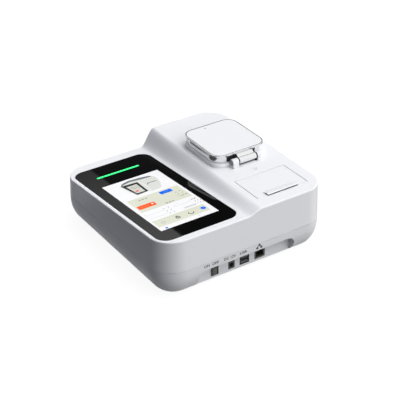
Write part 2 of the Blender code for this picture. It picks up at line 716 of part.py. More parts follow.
def door_block(name, growth, low, high):
    corner_low = (DOOR_LEFT_X - growth, DOOR_NEAR_Y - growth, low)
    corner_high = (DOOR_RIGHT_X + growth, DOOR_FAR_Y + growth, high)
    return block(name, corner_low, corner_high)


def make_upper_shell():
    above = HIGH_DECK_HEIGHT + OVERRUN
    shell = case_column("upper_shell")
    keep_inside(shell, deck_solid("deck"))
    rim = shell.modifiers.new("rim_fillet", "BEVEL")
    rim.width = RIM_FILLET
    rim.segments = RIM_STEPS
    rim.limit_method = "ANGLE"
    rim.angle_limit = RIM_ANGLE
    weld = shell.modifiers.new("rim_weld", "WELD")
    weld.merge_threshold = RIM_WELD_DISTANCE
    hollow = case_column("upper_hollow", WALL)
    keep_inside(hollow, deck_solid("deck_underside", LOW_DECK_WALL, HIGH_DECK_WALL, STEP_WALL_SHIFT))
    cut(shell, hollow)
    keep_inside(shell, slab_between("upper_half", PARTING_HEIGHT + SEAM_GAP, above))
    rabbet = case_column("lip_rabbet", WALL / 2)
    rabbet_top = PARTING_HEIGHT + LIP_HEIGHT + LIP_GAP
    keep_inside(rabbet, slab_between("rabbet_slab", 0, rabbet_top))
    cut(shell, rabbet)
    for i, (x, y) in enumerate(screw_places()):
        low = PARTING_HEIGHT + SEAT_GAP
        top = deck_height(x - BOSS_RADIUS, y) - HIGH_DECK_WALL / 4
        unite(shell, rod_between(f"upper_boss_{i}", low, top, (x, y), BOSS_RADIUS, "Z", SMALL_ROD_SIDES))
        thread = SCREW_RADIUS + RUN_GAP
        tip = PARTING_HEIGHT - SCREW_SEAT_DEPTH + SCREW_LENGTH + SEAT_GAP
        cut(shell, rod_between(f"thread_hole_{i}", 0, tip, (x, y), thread, "Z", SMALL_ROD_SIDES))
    unite(shell, door_block("door_collar", DOOR_SEAM + COLLAR_WALL, COLLAR_LOW, HIGH_DECK_HEIGHT - SEAT_GAP))
    cut(shell, door_block("door_opening", DOOR_SEAM, 0, above))
    bar_low = HIGH_DECK_HEIGHT - TEAR_BAR_DROP - TEAR_BAR_HEIGHT - SEAT_GAP
    half = TEAR_BAR_WIDTH / 2 + SEAT_GAP
    bar_near = BAY_NEAR_Y - TEAR_BAR_THICKNESS - SEAT_GAP
    slot_low = (DOOR_X - half, bar_near, bar_low)
    cut(shell, block("tear_bar_slot", slot_low, (DOOR_X + half, DOOR_NEAR_Y, above)))
    pin_half = DOOR_WIDTH / 2 + DOOR_SEAM + DOOR_PIN_REACH + SEAT_GAP
    pin_place = (DOOR_HINGE_Y, DOOR_HINGE_Z)
    pin_room = DOOR_PIN_RADIUS + RUN_GAP
    start = DOOR_X - pin_half
    end = DOOR_X + pin_half
    cut(shell, rod_between("pin_pockets", start, end, pin_place, pin_room, "X", SMALL_ROD_SIDES))
    opening_width = WELL_WIDTH + 2 * (WELL_WALL + SEAT_GAP)
    opening_length = WELL_LENGTH + 2 * (WELL_WALL + SEAT_GAP)
    opening_corner = WELL_CORNER + WELL_WALL + SEAT_GAP
    cut(shell, lid_block("chamber_opening", opening_width, opening_length, 0, above, opening_corner))
    pocket_low = -GLASS_THICKNESS - SEAT_GAP
    corner = PANEL_CORNER + PANEL_GAP
    cut(shell, deck_block("glass_pocket", PANEL, PANEL_GAP, pocket_low, RIM_FILLET, corner))
    through_low = -LOW_DECK_WALL - OVERRUN
    through_high = -GLASS_THICKNESS + SEAT_GAP
    corner = SCREEN_CORNER + PANEL_GAP
    cut(shell, deck_block("screen_opening", SCREEN, PANEL_GAP, through_low, through_high, corner, 1))
    corner = LIGHT_WIDTH / 3 + PANEL_GAP
    cut(shell, deck_block("light_opening", LIGHT, PANEL_GAP, through_low, through_high, corner))
    return finish(shell, (0.93, 0.93, 0.94), 0.38)


# Feet and screws
def make_foot(index, x, y):
    top = FOOT_STANDOFF + FOOT_RECESS - SEAT_GAP
    foot = rod_between(f"foot_{index}", 0, top, (x, y), FOOT_RADIUS, "Z")
    return finish(foot, (0.06, 0.06, 0.06), 0.85)


def make_case_screw(index, x, y):
    seat = PARTING_HEIGHT - SCREW_SEAT_DEPTH - SEAT_GAP
    head = seat - SCREW_HEAD_HEIGHT
    screw = rod_between(f"case_screw_{index}", head, seat, (x, y), SCREW_HEAD_RADIUS, "Z", SMALL_ROD_SIDES)
    root = seat - BOSS_LAP
    tip = seat + SCREW_LENGTH
    unite(screw, rod_between(f"screw_shank_{index}", root, tip, (x, y), SCREW_RADIUS, "Z", SMALL_ROD_SIDES))
    low = head - OVERRUN
    high = head + DRIVE_RECESS_DEPTH
    cut(screw, rod_between(f"drive_recess_{index}", low, high, (x, y), DRIVE_RECESS_RADIUS, "Z", HEX_SIDES))
    return finish(screw, (0.55, 0.55, 0.57), 0.35, 1.0)


# Electronics
def make_mainboard():
    near = PLATE_Y + RECESS_WALL + BOARD_BACK_GAP
    low = (BOARD_LEFT_X, near, BOARD_TOP - BOARD_THICKNESS)
    high = (BOARD_LEFT_X + BOARD_WIDTH, near + BOARD_DEPTH, BOARD_TOP)
    return finish(block("mainboard", low, high), (0.05, 0.22, 0.12), 0.55)


def socket_block(name, x, width, depth, height):
    low = BOARD_TOP + SEAT_GAP
    return block(name, (x - width / 2, PLATE_Y, low), (x + width / 2, PLATE_Y + depth, low + height))


def make_usb_socket():
    socket = socket_block("usb_socket", USB_X, USB_WIDTH, USB_DEPTH, USB_HEIGHT)
    middle = BOARD_TOP + SEAT_GAP + USB_HEIGHT / 2
    for side in (-1, 1):
        z = middle + side * USB_SLOT_SPACING / 2
        low = (USB_X - USB_SLOT_WIDTH / 2, PLATE_Y - OVERRUN, z - USB_SLOT_HEIGHT / 2)
        high = (USB_X + USB_SLOT_WIDTH / 2, PLATE_Y + USB_SLOT_DEPTH, z + USB_SLOT_HEIGHT / 2)
        cut(socket, block(f"usb_slot_{side}", low, high))
    return finish(socket, (0.30, 0.32, 0.31), 0.35, 0.8)


def make_lan_socket():
    socket = socket_block("lan_socket", LAN_X, LAN_WIDTH, LAN_DEPTH, LAN_HEIGHT)
    low_z = BOARD_TOP + SEAT_GAP + (LAN_HEIGHT - LAN_MOUTH_HEIGHT) / 2
    high_z = low_z + LAN_MOUTH_HEIGHT
    near = PLATE_Y - OVERRUN
    far = PLATE_Y + LAN_MOUTH_DEPTH
    mouth = block(
        "lan_mouth", (LAN_X - LAN_MOUTH_WIDTH / 2, near, low_z), (LAN_X + LAN_MOUTH_WIDTH / 2, far, high_z)
    )
    key_high = high_z + LAN_KEY_HEIGHT
    key_low = (LAN_X - LAN_KEY_WIDTH / 2, near, low_z + SEAT_GAP)
    key = block("lan_key", key_low, (LAN_X + LAN_KEY_WIDTH / 2, far, key_high))
    cut(socket, mouth, key)
    return finish(socket, (0.05, 0.05, 0.06), 0.45)


def make_dc_jack():
    jack = socket_block("dc_jack", DC_X, DC_WIDTH, DC_DEPTH, DC_HEIGHT)
    z = BOARD_TOP + SEAT_GAP + DC_HEIGHT / 2
    bore = rod_between("dc_bore", PLATE_Y - OVERRUN, PLATE_Y + DC_BORE_DEPTH, (DC_X, z), DC_BORE_RADIUS, "Y")
    cut(jack, bore)
    pin_start = PLATE_Y + DC_BORE_DEPTH - DC_PIN_LENGTH
    pin_end = PLATE_Y + DC_BORE_DEPTH + BOSS_LAP
    unite(jack, rod_between("dc_pin", pin_start, pin_end, (DC_X, z), DC_PIN_RADIUS, "Y", SMALL_ROD_SIDES))
    return finish(jack, (0.04, 0.04, 0.04), 0.5)


def make_switch():
    half_w = SWITCH_BEZEL_WIDTH / 2
    half_h = SWITCH_BEZEL_HEIGHT / 2
    front = PLATE_Y - SEAT_GAP - SWITCH_BEZEL_THICKNESS
    bezel_low = (SWITCH_X - half_w, front, SWITCH_HEIGHT - half_h)
    bezel_high = (SWITCH_X + half_w, PLATE_Y - SEAT_GAP, SWITCH_HEIGHT + half_h)
    housing = block("switch_housing", bezel_low, bezel_high)
    body_w = half_w - SWITCH_BEZEL_THICKNESS
    body_h = half_h - SWITCH_BEZEL_THICKNESS
    back = PLATE_Y + SWITCH_BODY_DEPTH
    lap = front + SWITCH_BEZEL_THICKNESS / 2
    unite(
        housing,
        block(
            "switch_body",
            (SWITCH_X - body_w, lap, SWITCH_HEIGHT - body_h),
            (SWITCH_X + body_w, back, SWITCH_HEIGHT + body_h),
        ),
    )
    room_w = body_w - SWITCH_WALL
    room_h = body_h - SWITCH_WALL
    room_back = PLATE_Y + SWITCH_CAVITY_DEPTH
    cut(
        housing,
        block(
            "switch_room",
            (SWITCH_X - room_w, front - OVERRUN, SWITCH_HEIGHT - room_h),
            (SWITCH_X + room_w, room_back, SWITCH_HEIGHT + room_h),
        ),
    )
    finish(housing, (0.05, 0.05, 0.05), 0.5)
    axis_y = PLATE_Y + ROCKER_AXIS_DEPTH
    empty = axis_empty("rocker_axis", (SWITCH_X, axis_y, SWITCH_HEIGHT))
    half = ROCKER_WIDTH / 2
    outline = (
        (half, ROCKER_BACK),
        (half, ROCKER_RIDGE - ROCKER_DEPTH),
        (0, -ROCKER_DEPTH),
        (-half, ROCKER_RIDGE - ROCKER_DEPTH),
        (-half, ROCKER_BACK),
    )
    height = room_h - RUN_GAP
    rocker = prism("switch_rocker", outline, -height, height)
    tilt = math.atan(ROCKER_RIDGE / half)
    stand = Matrix(((0, 1, 0, 0), (0, 0, 1, 0), (1, 0, 0, 0), (0, 0, 0, 1)))
    rocker.matrix_world = (
        Matrix.Translation((SWITCH_X, axis_y, SWITCH_HEIGHT)) @ Matrix.Rotation(tilt, 4, "Z") @ stand
    )
    attach(empty, rocker)
    finish(rocker, (0.07, 0.08, 0.07), 0.45)


# Touch panel
def make_touch_panel():
    glass = deck_block("front_glass", PANEL, 0, -GLASS_THICKNESS, 0, PANEL_CORNER)
    finish(glass, (0.012, 0.012, 0.012), 0.08)
    top = -GLASS_THICKNESS - SEAT_GAP
    screen_low = top - SCREEN_THICKNESS
    screen = deck_block("screen_module", SCREEN, 0, screen_low, top, SCREEN_CORNER, 1)
    finish(screen, (0.75, 0.76, 0.76), 0.4)
    light_low = -LOW_DECK_WALL + SEAT_GAP
    light = deck_block("light_bar", LIGHT, 0, light_low, top, LIGHT_WIDTH / 3)
    finish(light, (0.10, 0.85, 0.35), 0.4)
    high = -LOW_DECK_WALL - SEAT_GAP
    low = high - LIGHT_BOARD_THICKNESS
    board = deck_block("light_bar_board", LIGHT, LIGHT_BOARD_MARGIN, low, high, LIGHT_WIDTH / 3, 1)
    finish(board, (0.05, 0.22, 0.12), 0.55)


# Lid, ring and hinge
def make_ring_and_lid():
    corner_in = LID_CORNER - BAND_RECESS
    ring = lid_block("lid_base_ring", LID_WIDTH, LID_DEPTH, RING_LOW, RING_TOP, LID_CORNER)
    cut(ring, lid_block("ring_mouth", WELL_WIDTH, WELL_LENGTH, 0, RING_TOP + OVERRUN, WELL_CORNER))
    width = LID_WIDTH - 2 * RING_SKIRT
    length = LID_DEPTH - 2 * RING_SKIRT
    rabbet_top = RING_LOW + FLANGE_THICKNESS + SEAT_GAP
    cut(ring, lid_block("ring_rabbet", width, length, 0, rabbet_top, LID_CORNER - RING_SKIRT))
    finish(ring, (0.80, 0.80, 0.82), 0.15, 1.0)

    cover_top = COVER_LOW + COVER_THICKNESS
    cover = lid_block(
        "lid_cover", LID_WIDTH, LID_DEPTH, COVER_LOW, cover_top, LID_CORNER, CORNER_STEPS, LID_EDGE_FILLET
    )
    finish(cover, (0.93, 0.93, 0.94), 0.35)
    width = LID_WIDTH - 2 * BAND_RECESS
    length = LID_DEPTH - 2 * BAND_RECESS
    band = lid_block("lid_band", width, length, BAND_LOW, BAND_TOP, corner_in)
    width -= 2 * BAND_WALL
    length -= 2 * BAND_WALL
    corner_in -= BAND_WALL
    cut(band, lid_block("band_room", width, length, 0, BAND_TOP + OVERRUN, corner_in))
    finish(band, (0.80, 0.80, 0.82), 0.12, 1.0)
    width -= 2 * SEAT_GAP
    length -= 2 * SEAT_GAP
    liner = lid_block("lid_liner", width, length, BAND_LOW, BAND_LOW + LINER_THICKNESS, corner_in - SEAT_GAP)
    finish(liner, (0.16, 0.16, 0.17), 0.8)
    return cover, band, liner


def make_hinge_base():
    left = HINGE_X - HINGE_LENGTH / 2
    right = HINGE_X + HINGE_LENGTH / 2
    near = LID_HINGE_Y - HINGE_PLATE_REACH
    far = LID_Y - LID_DEPTH / 2 - SEAT_GAP
    plate_top = RING_LOW + HINGE_PLATE_THICKNESS
    base = block("lid_hinge_base", (left, near, RING_LOW), (right, far, plate_top))
    spans = ((left, left + LEFT_KNUCKLE_LENGTH), (right - RIGHT_KNUCKLE_LENGTH, right))
    for i, (start, end) in enumerate(spans):
        place = (LID_HINGE_Y, LID_HINGE_Z)
        post_low = (start, LID_HINGE_Y - KNUCKLE_RADIUS, RING_LOW + HINGE_PLATE_THICKNESS / 2)
        post_high = (end, LID_HINGE_Y + KNUCKLE_RADIUS, LID_HINGE_Z)
        unite(base, block(f"knuckle_post_{i}", post_low, post_high))
        unite(base, rod_between(f"knuckle_{i}", start, end, place, KNUCKLE_RADIUS))
    pin_left = left + HINGE_PIN_END_INSET
    pin_right = right - HINGE_PIN_END_INSET
    bore_radius = HINGE_PIN_RADIUS + RUN_GAP
    bore = rod_between("knuckle_bore", pin_left - SEAT_GAP, pin_right + SEAT_GAP, place, bore_radius)
    cut(base, bore)
    finish(base, (0.85, 0.85, 0.86), 0.18, 1.0)
    pin = rod_between("lid_hinge_pin", pin_left, pin_right, place, HINGE_PIN_RADIUS)
    finish(pin, (0.6, 0.6, 0.62), 0.25, 1.0)


def make_hinge_leaf():
    start = HINGE_X - HINGE_LENGTH / 2 + LEFT_KNUCKLE_LENGTH + RUN_GAP
    end = HINGE_X + HINGE_LENGTH / 2 - RIGHT_KNUCKLE_LENGTH - RUN_GAP
    place = (LID_HINGE_Y, LID_HINGE_Z)
    leaf = rod_between("lid_hinge_leaf", start, end, place, BARREL_RADIUS)
    band_face = LID_Y - LID_DEPTH / 2 + BAND_RECESS - SEAT_GAP
    outline = (
        (LID_HINGE_Y, LID_HINGE_Z + BARREL_RADIUS - LEAF_THICKNESS),
        (band_face, BAND_LOW + SEAT_GAP),
        (band_face, BAND_TOP - SEAT_GAP),
        (LID_HINGE_Y + BARREL_RADIUS / 3, LID_HINGE_Z + BARREL_RADIUS - SEAT_GAP),
        (LID_HINGE_Y, LID_HINGE_Z + BARREL_RADIUS - SEAT_GAP),
    )
    unite(leaf, prism("leaf_plate", outline, start + LEAF_END_INSET, end - LEAF_END_INSET))
    cut(leaf, rod_between("barrel_bore", start - OVERRUN, end + OVERRUN, place, HINGE_PIN_RADIUS + RUN_GAP))
    return finish(leaf, (0.85, 0.85, 0.86), 0.18, 1.0)


# Chamber
def make_chamber():
    flange_high = RING_LOW + FLANGE_THICKNESS
    corner = WELL_CORNER + WELL_WALL
    width = WELL_WIDTH + 2 * WELL_WALL
    length = WELL_LENGTH + 2 * WELL_WALL
    tub_high = RING_LOW + FLANGE_THICKNESS / 2
    well = lid_block("chamber_well", width, length, WELL_FLOOR_LOW, tub_high, corner)
    flange_width = LID_WIDTH - 2 * (RING_SKIRT + SEAT_GAP)
    flange_length = LID_DEPTH - 2 * (RING_SKIRT + SEAT_GAP)
    flange_corner = LID_CORNER - RING_SKIRT - SEAT_GAP
    unite(well, lid_block("well_flange", flange_width, flange_length, RING_LOW, flange_high, flange_corner))
    high = flange_high + OVERRUN
    cut(well, lid_block("well_room", WELL_WIDTH, WELL_LENGTH, WELL_FLOOR_TOP, high, WELL_CORNER))
    mouth_width = WINDOW_WIDTH - 2 * WINDOW_LEDGE
    mouth_length = WINDOW_LENGTH - 2 * WINDOW_LEDGE
    cut(well, lid_block("scan_mouth", mouth_width, mouth_length, 0, high, WINDOW_LEDGE))
    finish(well, (0.13, 0.13, 0.14), 0.6)
    window_low = WELL_FLOOR_TOP + SEAT_GAP
    window_high = window_low + WINDOW_THICKNESS
    window = lid_block("scan_window", WINDOW_WIDTH, WINDOW_LENGTH, window_low, window_high, WINDOW_LEDGE, 1)
    finish(window, (0.75, 0.85, 0.85), 0.05)

    tray_low = window_high + SEAT_GAP
    tray_high = tray_low + TRAY_HEIGHT
    width = WELL_WIDTH - 2 * RUN_GAP
    length = WELL_LENGTH - 2 * RUN_GAP
    tray = lid_block("cassette_tray", width, length, tray_low, tray_high, WELL_CORNER - RUN_GAP)
    for i in range(LANE_COUNT):
        x = LID_X + (i - (LANE_COUNT - 1) / 2) * LANE_PITCH
        low = (x - LANE_WIDTH / 2, LID_Y - LANE_LENGTH / 2, tray_high - LANE_DEPTH)
        top = (x + LANE_WIDTH / 2, LID_Y + LANE_LENGTH / 2, tray_high + OVERRUN)
        cut(tray, rounded_block(f"lane_{i}", low, top, LANE_CORNER))
        low = (x - READ_SLOT_WIDTH / 2, LID_Y - READ_SLOT_LENGTH / 2, tray_low - OVERRUN)
        top = (x + READ_SLOT_WIDTH / 2, LID_Y + READ_SLOT_LENGTH / 2, tray_high)
        cut(tray, block(f"read_slot_{i}", low, top))
    finish(tray, (0.20, 0.21, 0.22), 0.55)


# Scan head
def make_scan_frame():
    half = FRAME_WIDTH / 2
    base_low = WELL_FLOOR_LOW - FRAME_BASE_DROP
    base_high = base_low + FRAME_BASE_THICKNESS
    frame = block("scan_frame", (LID_X - half, SCAN_NEAR_Y, base_low), (LID_X + half, SCAN_FAR_Y, base_high))
    plates = ((SCAN_NEAR_Y, SCAN_NEAR_Y + FRAME_PLATE), (SCAN_FAR_Y - FRAME_PLATE, SCAN_FAR_Y))
    lap = base_low + FRAME_BASE_THICKNESS / 2
    for i, (near, far) in enumerate(plates):
        unite(frame, block(f"frame_plate_{i}", (LID_X - half, near, lap), (LID_X + half, far, SCAN_TOP)))
    near = SCAN_NEAR_Y - OVERRUN
    far = SCAN_FAR_Y + OVERRUN
    for side in (-1, 1):
        x = LID_X + side * GUIDE_SPACING / 2
        room = GUIDE_RADIUS + SEAT_GAP
        cut(frame, rod_between(f"guide_hole_{side}", near, far, (x, GUIDE_Z), room, "Y", SMALL_ROD_SIDES))
    screw_room = LEAD_SCREW_RADIUS + RUN_GAP
    place = (LID_X, LEAD_SCREW_Z)
    cut(frame, rod_between("lead_screw_hole", near, far, place, screw_room, "Y", SMALL_ROD_SIDES))
    finish(frame, (0.62, 0.63, 0.65), 0.4, 1.0)
    for side, name in ((-1, "left"), (1, "right")):
        rod_place = (LID_X + side * GUIDE_SPACING / 2, GUIDE_Z)
        guide = rod_between(
            f"guide_rod_{name}", SCAN_NEAR_Y, SCAN_FAR_Y, rod_place, GUIDE_RADIUS, "Y", SMALL_ROD_SIDES
        )
        finish(guide, (0.75, 0.75, 0.77), 0.15, 1.0)
    start = SCAN_MOTOR_Y
    motor = rod_between("scan_motor", start, start + SCAN_MOTOR_LENGTH, place, SCAN_MOTOR_RADIUS, "Y")
    end = start + SCAN_MOTOR_BORE
    cut(motor, rod_between("scan_motor_bore", start - OVERRUN, end, place, screw_room, "Y", SMALL_ROD_SIDES))
    finish(motor, (0.30, 0.30, 0.32), 0.35, 1.0)


def make_scan_head():
    empty = axis_empty("scan_head_frame", (LID_X, CARRIAGE_Y, GUIDE_Z))
    half = CARRIAGE_WIDTH / 2
    near = CARRIAGE_NEAR_Y
    far = CARRIAGE_NEAR_Y + CARRIAGE_LENGTH
    carriage = block("scan_carriage", (LID_X - half, near, CARRIAGE_LOW), (LID_X + half, far, CARRIAGE_TOP))
    bores = [(LID_X + side * GUIDE_SPACING / 2, GUIDE_Z, GUIDE_RADIUS) for side in (-1, 1)]
    bores.append((LID_X, LEAD_SCREW_Z, LEAD_SCREW_RADIUS))
    start = near - OVERRUN
    end = far + OVERRUN
    for i, (x, z, radius) in enumerate(bores):
        room = radius + RUN_GAP
        cut(carriage, rod_between(f"carriage_bore_{i}", start, end, (x, z), room, "Y", SMALL_ROD_SIDES))
    lenses = []
    for i in range(LANE_COUNT):
        place = (LID_X + (i - (LANE_COUNT - 1) / 2) * LANE_PITCH, CARRIAGE_Y)
        seat = CARRIAGE_TOP - LENS_SEAT_DEPTH
        high = CARRIAGE_TOP + OVERRUN
        room = LENS_RADIUS + SEAT_GAP
        cut(carriage, rod_between(f"lens_seat_{i}", seat, high, place, room, "Z", SMALL_ROD_SIDES))
        low = seat + SEAT_GAP
        lens = rod_between(f"lens_{i}", low, low + LENS_HEIGHT, place, LENS_RADIUS, "Z", SMALL_ROD_SIDES)
        lenses.append(finish(lens, (0.35, 0.45, 0.60), 0.05))
    finish(carriage, (0.10, 0.10, 0.11), 0.5)
    high = CARRIAGE_LOW - SEAT_GAP
    low_corner = (LID_X - half + OPTICS_MARGIN, near + OPTICS_MARGIN, high - OPTICS_THICKNESS)
    high_corner = (LID_X + half - OPTICS_MARGIN, far - OPTICS_MARGIN, high)
    board = finish(block("optics_board", low_corner, high_corner), (0.05, 0.22, 0.12), 0.55)
    attach(empty, carriage, board, *lenses)


def make_lead_screw():
    end = SCAN_MOTOR_Y + SCAN_MOTOR_BORE - SEAT_GAP
    empty = axis_empty("lead_screw_axis", (LID_X, SCAN_NEAR_Y, LEAD_SCREW_Z))
    place = (LID_X, LEAD_SCREW_Z)
    screw = rod_between("lead_screw", SCAN_NEAR_Y, end, place, LEAD_SCREW_RADIUS, "Y", SMALL_ROD_SIDES)
    attach(empty, finish(screw, (0.65, 0.65, 0.67), 0.25, 1.0))


# Printer
def gear_outline(centre, tooth_angle):
    """Outline of an involute gear in the YZ plane, with one tooth centred on the given angle."""
    pitch_radius = GEAR_MODULE * GEAR_TEETH / 2
    base_radius = pitch_radius * math.cos(PRESSURE_ANGLE)
    tip_radius = pitch_radius + ADDENDUM_SHARE * GEAR_MODULE
    root_radius = pitch_radius - DEDENDUM_SHARE * GEAR_MODULE
    half_at_pitch = math.pi / (2 * GEAR_TEETH) - GEAR_BACKLASH / (2 * pitch_radius)
    roll_at_pitch = math.tan(PRESSURE_ANGLE) - PRESSURE_ANGLE
    flank = [(root_radius, half_at_pitch + roll_at_pitch)]
    for i in range(GEAR_FLANK_STEPS + 1):
        radius = base_radius + (tip_radius - base_radius) * i / GEAR_FLANK_STEPS
        turn = math.acos(base_radius / radius)
        flank.append((radius, half_at_pitch + roll_at_pitch - (math.tan(turn) - turn)))
    points = []
    for tooth in range(GEAR_TEETH):
        middle = tooth_angle + 2 * math.pi * tooth / GEAR_TEETH
        sides = [(r, middle - a) for r, a in flank] + [(r, middle + a) for r, a in reversed(flank)]
        points += [(centre[0] + r * math.cos(a), centre[1] + r * math.sin(a)) for r, a in sides]
    return points


def door_outline():
    """Section of the door in the YZ plane: a plate whose far edge is rounded about the hinge axis."""
    edge_drop = math.asin((DOOR_UNDERSIDE - DOOR_HINGE_Z) / DOOR_ROLL_RADIUS)
    first = math.pi / 2
    last = -math.pi - edge_drop
    points = [(DOOR_NEAR_Y, DOOR_UNDERSIDE), (DOOR_NEAR_Y, HIGH_DECK_HEIGHT)]
    for i in range(ROLL_STEPS + 1):
        angle = first + (last - first) * i / ROLL_STEPS
        y = DOOR_HINGE_Y + DOOR_ROLL_RADIUS * math.cos(angle)
        points.append((y, DOOR_HINGE_Z + DOOR_ROLL_RADIUS * math.sin(angle)))
    return points


def bracket_outline():
    """Section of the arm that carries the platen shaft, from inside the door plate down round the shaft."""
    top = DOOR_UNDERSIDE + DOOR_THICKNESS / 2
    points = [(PLATEN_Y + BRACKET_RADIUS, top), (PLATEN_Y - BRACKET_RADIUS, top)]
    for i in range(ROLL_STEPS + 1):
        angle = math.pi + math.pi * i / ROLL_STEPS
        y = PLATEN_Y + BRACKET_RADIUS * math.cos(angle)
        points.append((y, PLATEN_Z + BRACKET_RADIUS * math.sin(angle)))
    return points


def make_printer_door():
    left, right = DOOR_LEFT_X, DOOR_RIGHT_X
    hinge = (DOOR_HINGE_Y, DOOR_HINGE_Z)
    door = prism("printer_door", door_outline(), left, right)
    half = TONGUE_WIDTH / 2
    root = DOOR_NEAR_Y + TONGUE_RUN
    slot_half = half - TONGUE_CUT_INSET
    low = (DOOR_X - slot_half, DOOR_NEAR_Y - OVERRUN, DOOR_UNDERSIDE - OVERRUN)
    high = (DOOR_X + slot_half, root, HIGH_DECK_HEIGHT + OVERRUN)
    cut(door, block("paper_slot", low, high))
    deck = HIGH_DECK_HEIGHT
    outline = (
        (root + TONGUE_LAP, deck - TONGUE_THICKNESS - SEAT_GAP),
        (DOOR_NEAR_Y, deck + TONGUE_RISE - TONGUE_THICKNESS),
        (DOOR_NEAR_Y, deck + TONGUE_RISE),
        (root + TONGUE_LAP, deck - SEAT_GAP),
    )
    unite(door, prism("paper_tongue", outline, DOOR_X - half, DOOR_X + half))
    for i, side in enumerate((-1, 1)):
        inner = DOOR_X + side * BRACKET_INNER
        outer = DOOR_X + side * BRACKET_OUTER
        unite(door, prism(f"bracket_{i}", bracket_outline(), min(inner, outer), max(inner, outer)))
    reach = BRACKET_OUTER + OVERRUN
    shaft_place = (PLATEN_Y, PLATEN_Z)
    cut(door, rod_between("shaft_bore", DOOR_X - reach, DOOR_X + reach, shaft_place, SHAFT_RADIUS + RUN_GAP))
    pin_room = DOOR_PIN_RADIUS + RUN_GAP
    bore = rod_between("door_bore", left - OVERRUN, right + OVERRUN, hinge, pin_room, "X", SMALL_ROD_SIDES)
    cut(door, bore)
    finish(door, (0.93, 0.93, 0.94), 0.38)
    attach(axis_empty("door_axis", (DOOR_X, DOOR_HINGE_Y, DOOR_HINGE_Z)), door)
    start = left - DOOR_SEAM - DOOR_PIN_REACH
    end = right + DOOR_SEAM + DOOR_PIN_REACH
    pin = rod_between("door_hinge_pin", start, end, hinge, DOOR_PIN_RADIUS, "X", SMALL_ROD_SIDES)
    finish(pin, (0.6, 0.6, 0.62), 0.25, 1.0)


def make_platen():
    place = (PLATEN_Y, PLATEN_Z)
    empty = axis_empty("platen_axis", (DOOR_X, PLATEN_Y, PLATEN_Z))
    left = DOOR_X - BRACKET_OUTER - SHAFT_END
    right = GEAR_RIGHT_X + SHAFT_END
    shaft = finish(rod_between("platen_shaft", left, right, place, SHAFT_RADIUS), (0.7, 0.7, 0.72), 0.2, 1.0)
    roller = rod_between("platen_roller", DOOR_X - PLATEN_HALF, DOOR_X + PLATEN_HALF, place, PLATEN_RADIUS)
    reach = PLATEN_HALF + OVERRUN
    cut(roller, rod_between("roller_bore", DOOR_X - reach, DOOR_X + reach, place, SHAFT_RADIUS + SEAT_GAP))
    finish(roller, (0.05, 0.05, 0.05), 0.9)
    line = gear_line()
    towards_drive = math.atan2(-line.y, -line.x)
    gear = prism("platen_gear", gear_outline(place, towards_drive), GEAR_LEFT_X, GEAR_RIGHT_X)
    start = GEAR_LEFT_X - OVERRUN
    end = GEAR_RIGHT_X + OVERRUN
    cut(gear, rod_between("gear_bore", start, end, place, SHAFT_RADIUS + SEAT_GAP))
    finish(gear, (0.85, 0.85, 0.82), 0.5)
    attach(empty, shaft, roller, gear)


def make_drive_gear():
    line = gear_line()
    towards_platen = math.atan2(line.y, line.x)
    place = (DRIVE_Y, DRIVE_Z)
    half_tooth = math.pi / GEAR_TEETH
    gear = prism("drive_gear", gear_outline(place, towards_platen + half_tooth), GEAR_LEFT_X, GEAR_RIGHT_X)
    motor_left = BAY_RIGHT_X + PRINTER_WALL + SEAT_GAP
    end = motor_left + PRINTER_MOTOR_BORE - SEAT_GAP
    unite(gear, rod_between("drive_shaft", GEAR_RIGHT_X - BOSS_LAP, end, place, SHAFT_RADIUS))
    finish(gear, (0.85, 0.85, 0.82), 0.5)
    attach(axis_empty("drive_gear_axis", (GEAR_LEFT_X, DRIVE_Y, DRIVE_Z)), gear)
    motor_right = motor_left + PRINTER_MOTOR_LENGTH
    motor = rod_between("printer_motor", motor_left, motor_right, place, PRINTER_MOTOR_RADIUS)
    bore_end = motor_left + PRINTER_MOTOR_BORE
    cut(motor, rod_between("motor_bore", motor_left - OVERRUN, bore_end, place, SHAFT_RADIUS + RUN_GAP))
    finish(motor, (0.30, 0.30, 0.32), 0.35, 1.0)


def make_printer_frame():
    wall = PRINTER_WALL
    deep_far = BAY_FAR_Y + wall
    frame = block(
        "printer_frame",
        (DOOR_X - BAY_HALF - wall, BAY_DEEP_NEAR_Y - wall, BAY_FLOOR - wall),
        (DOOR_X + BAY_HALF + wall, deep_far, PRINTER_TOP - wall / 2),
    )
    shallow_outer = block(
        "shallow_bay_walls",
        (BAY_LEFT_X - wall, BAY_NEAR_Y - wall, SHALLOW_FLOOR - wall),
        (BAY_RIGHT_X + wall, BAY_SHALLOW_FAR_Y + wall, PRINTER_TOP - wall / 2),
    )
    unite(frame, shallow_outer)
    unite(frame, door_block("printer_flange", DOOR_SEAM + COLLAR_WALL, PRINTER_TOP - wall, PRINTER_TOP))
    above = PRINTER_TOP + OVERRUN
    deep = block(
        "deep_bay",
        (DOOR_X - BAY_HALF, BAY_DEEP_NEAR_Y, BAY_FLOOR),
        (DOOR_X + BAY_HALF, BAY_FAR_Y, above),
    )
    shallow = block(
        "shallow_bay", (BAY_LEFT_X, BAY_NEAR_Y, SHALLOW_FLOOR), (BAY_RIGHT_X, BAY_SHALLOW_FAR_Y, above)
    )
    cut(frame, deep, shallow)
    place = (DRIVE_Y, DRIVE_Z)
    far = BAY_RIGHT_X + wall + OVERRUN
    cut(frame, rod_between("drive_shaft_hole", BAY_RIGHT_X - OVERRUN, far, place, SHAFT_RADIUS + RUN_GAP))
    finish(frame, (0.13, 0.13, 0.14), 0.6)


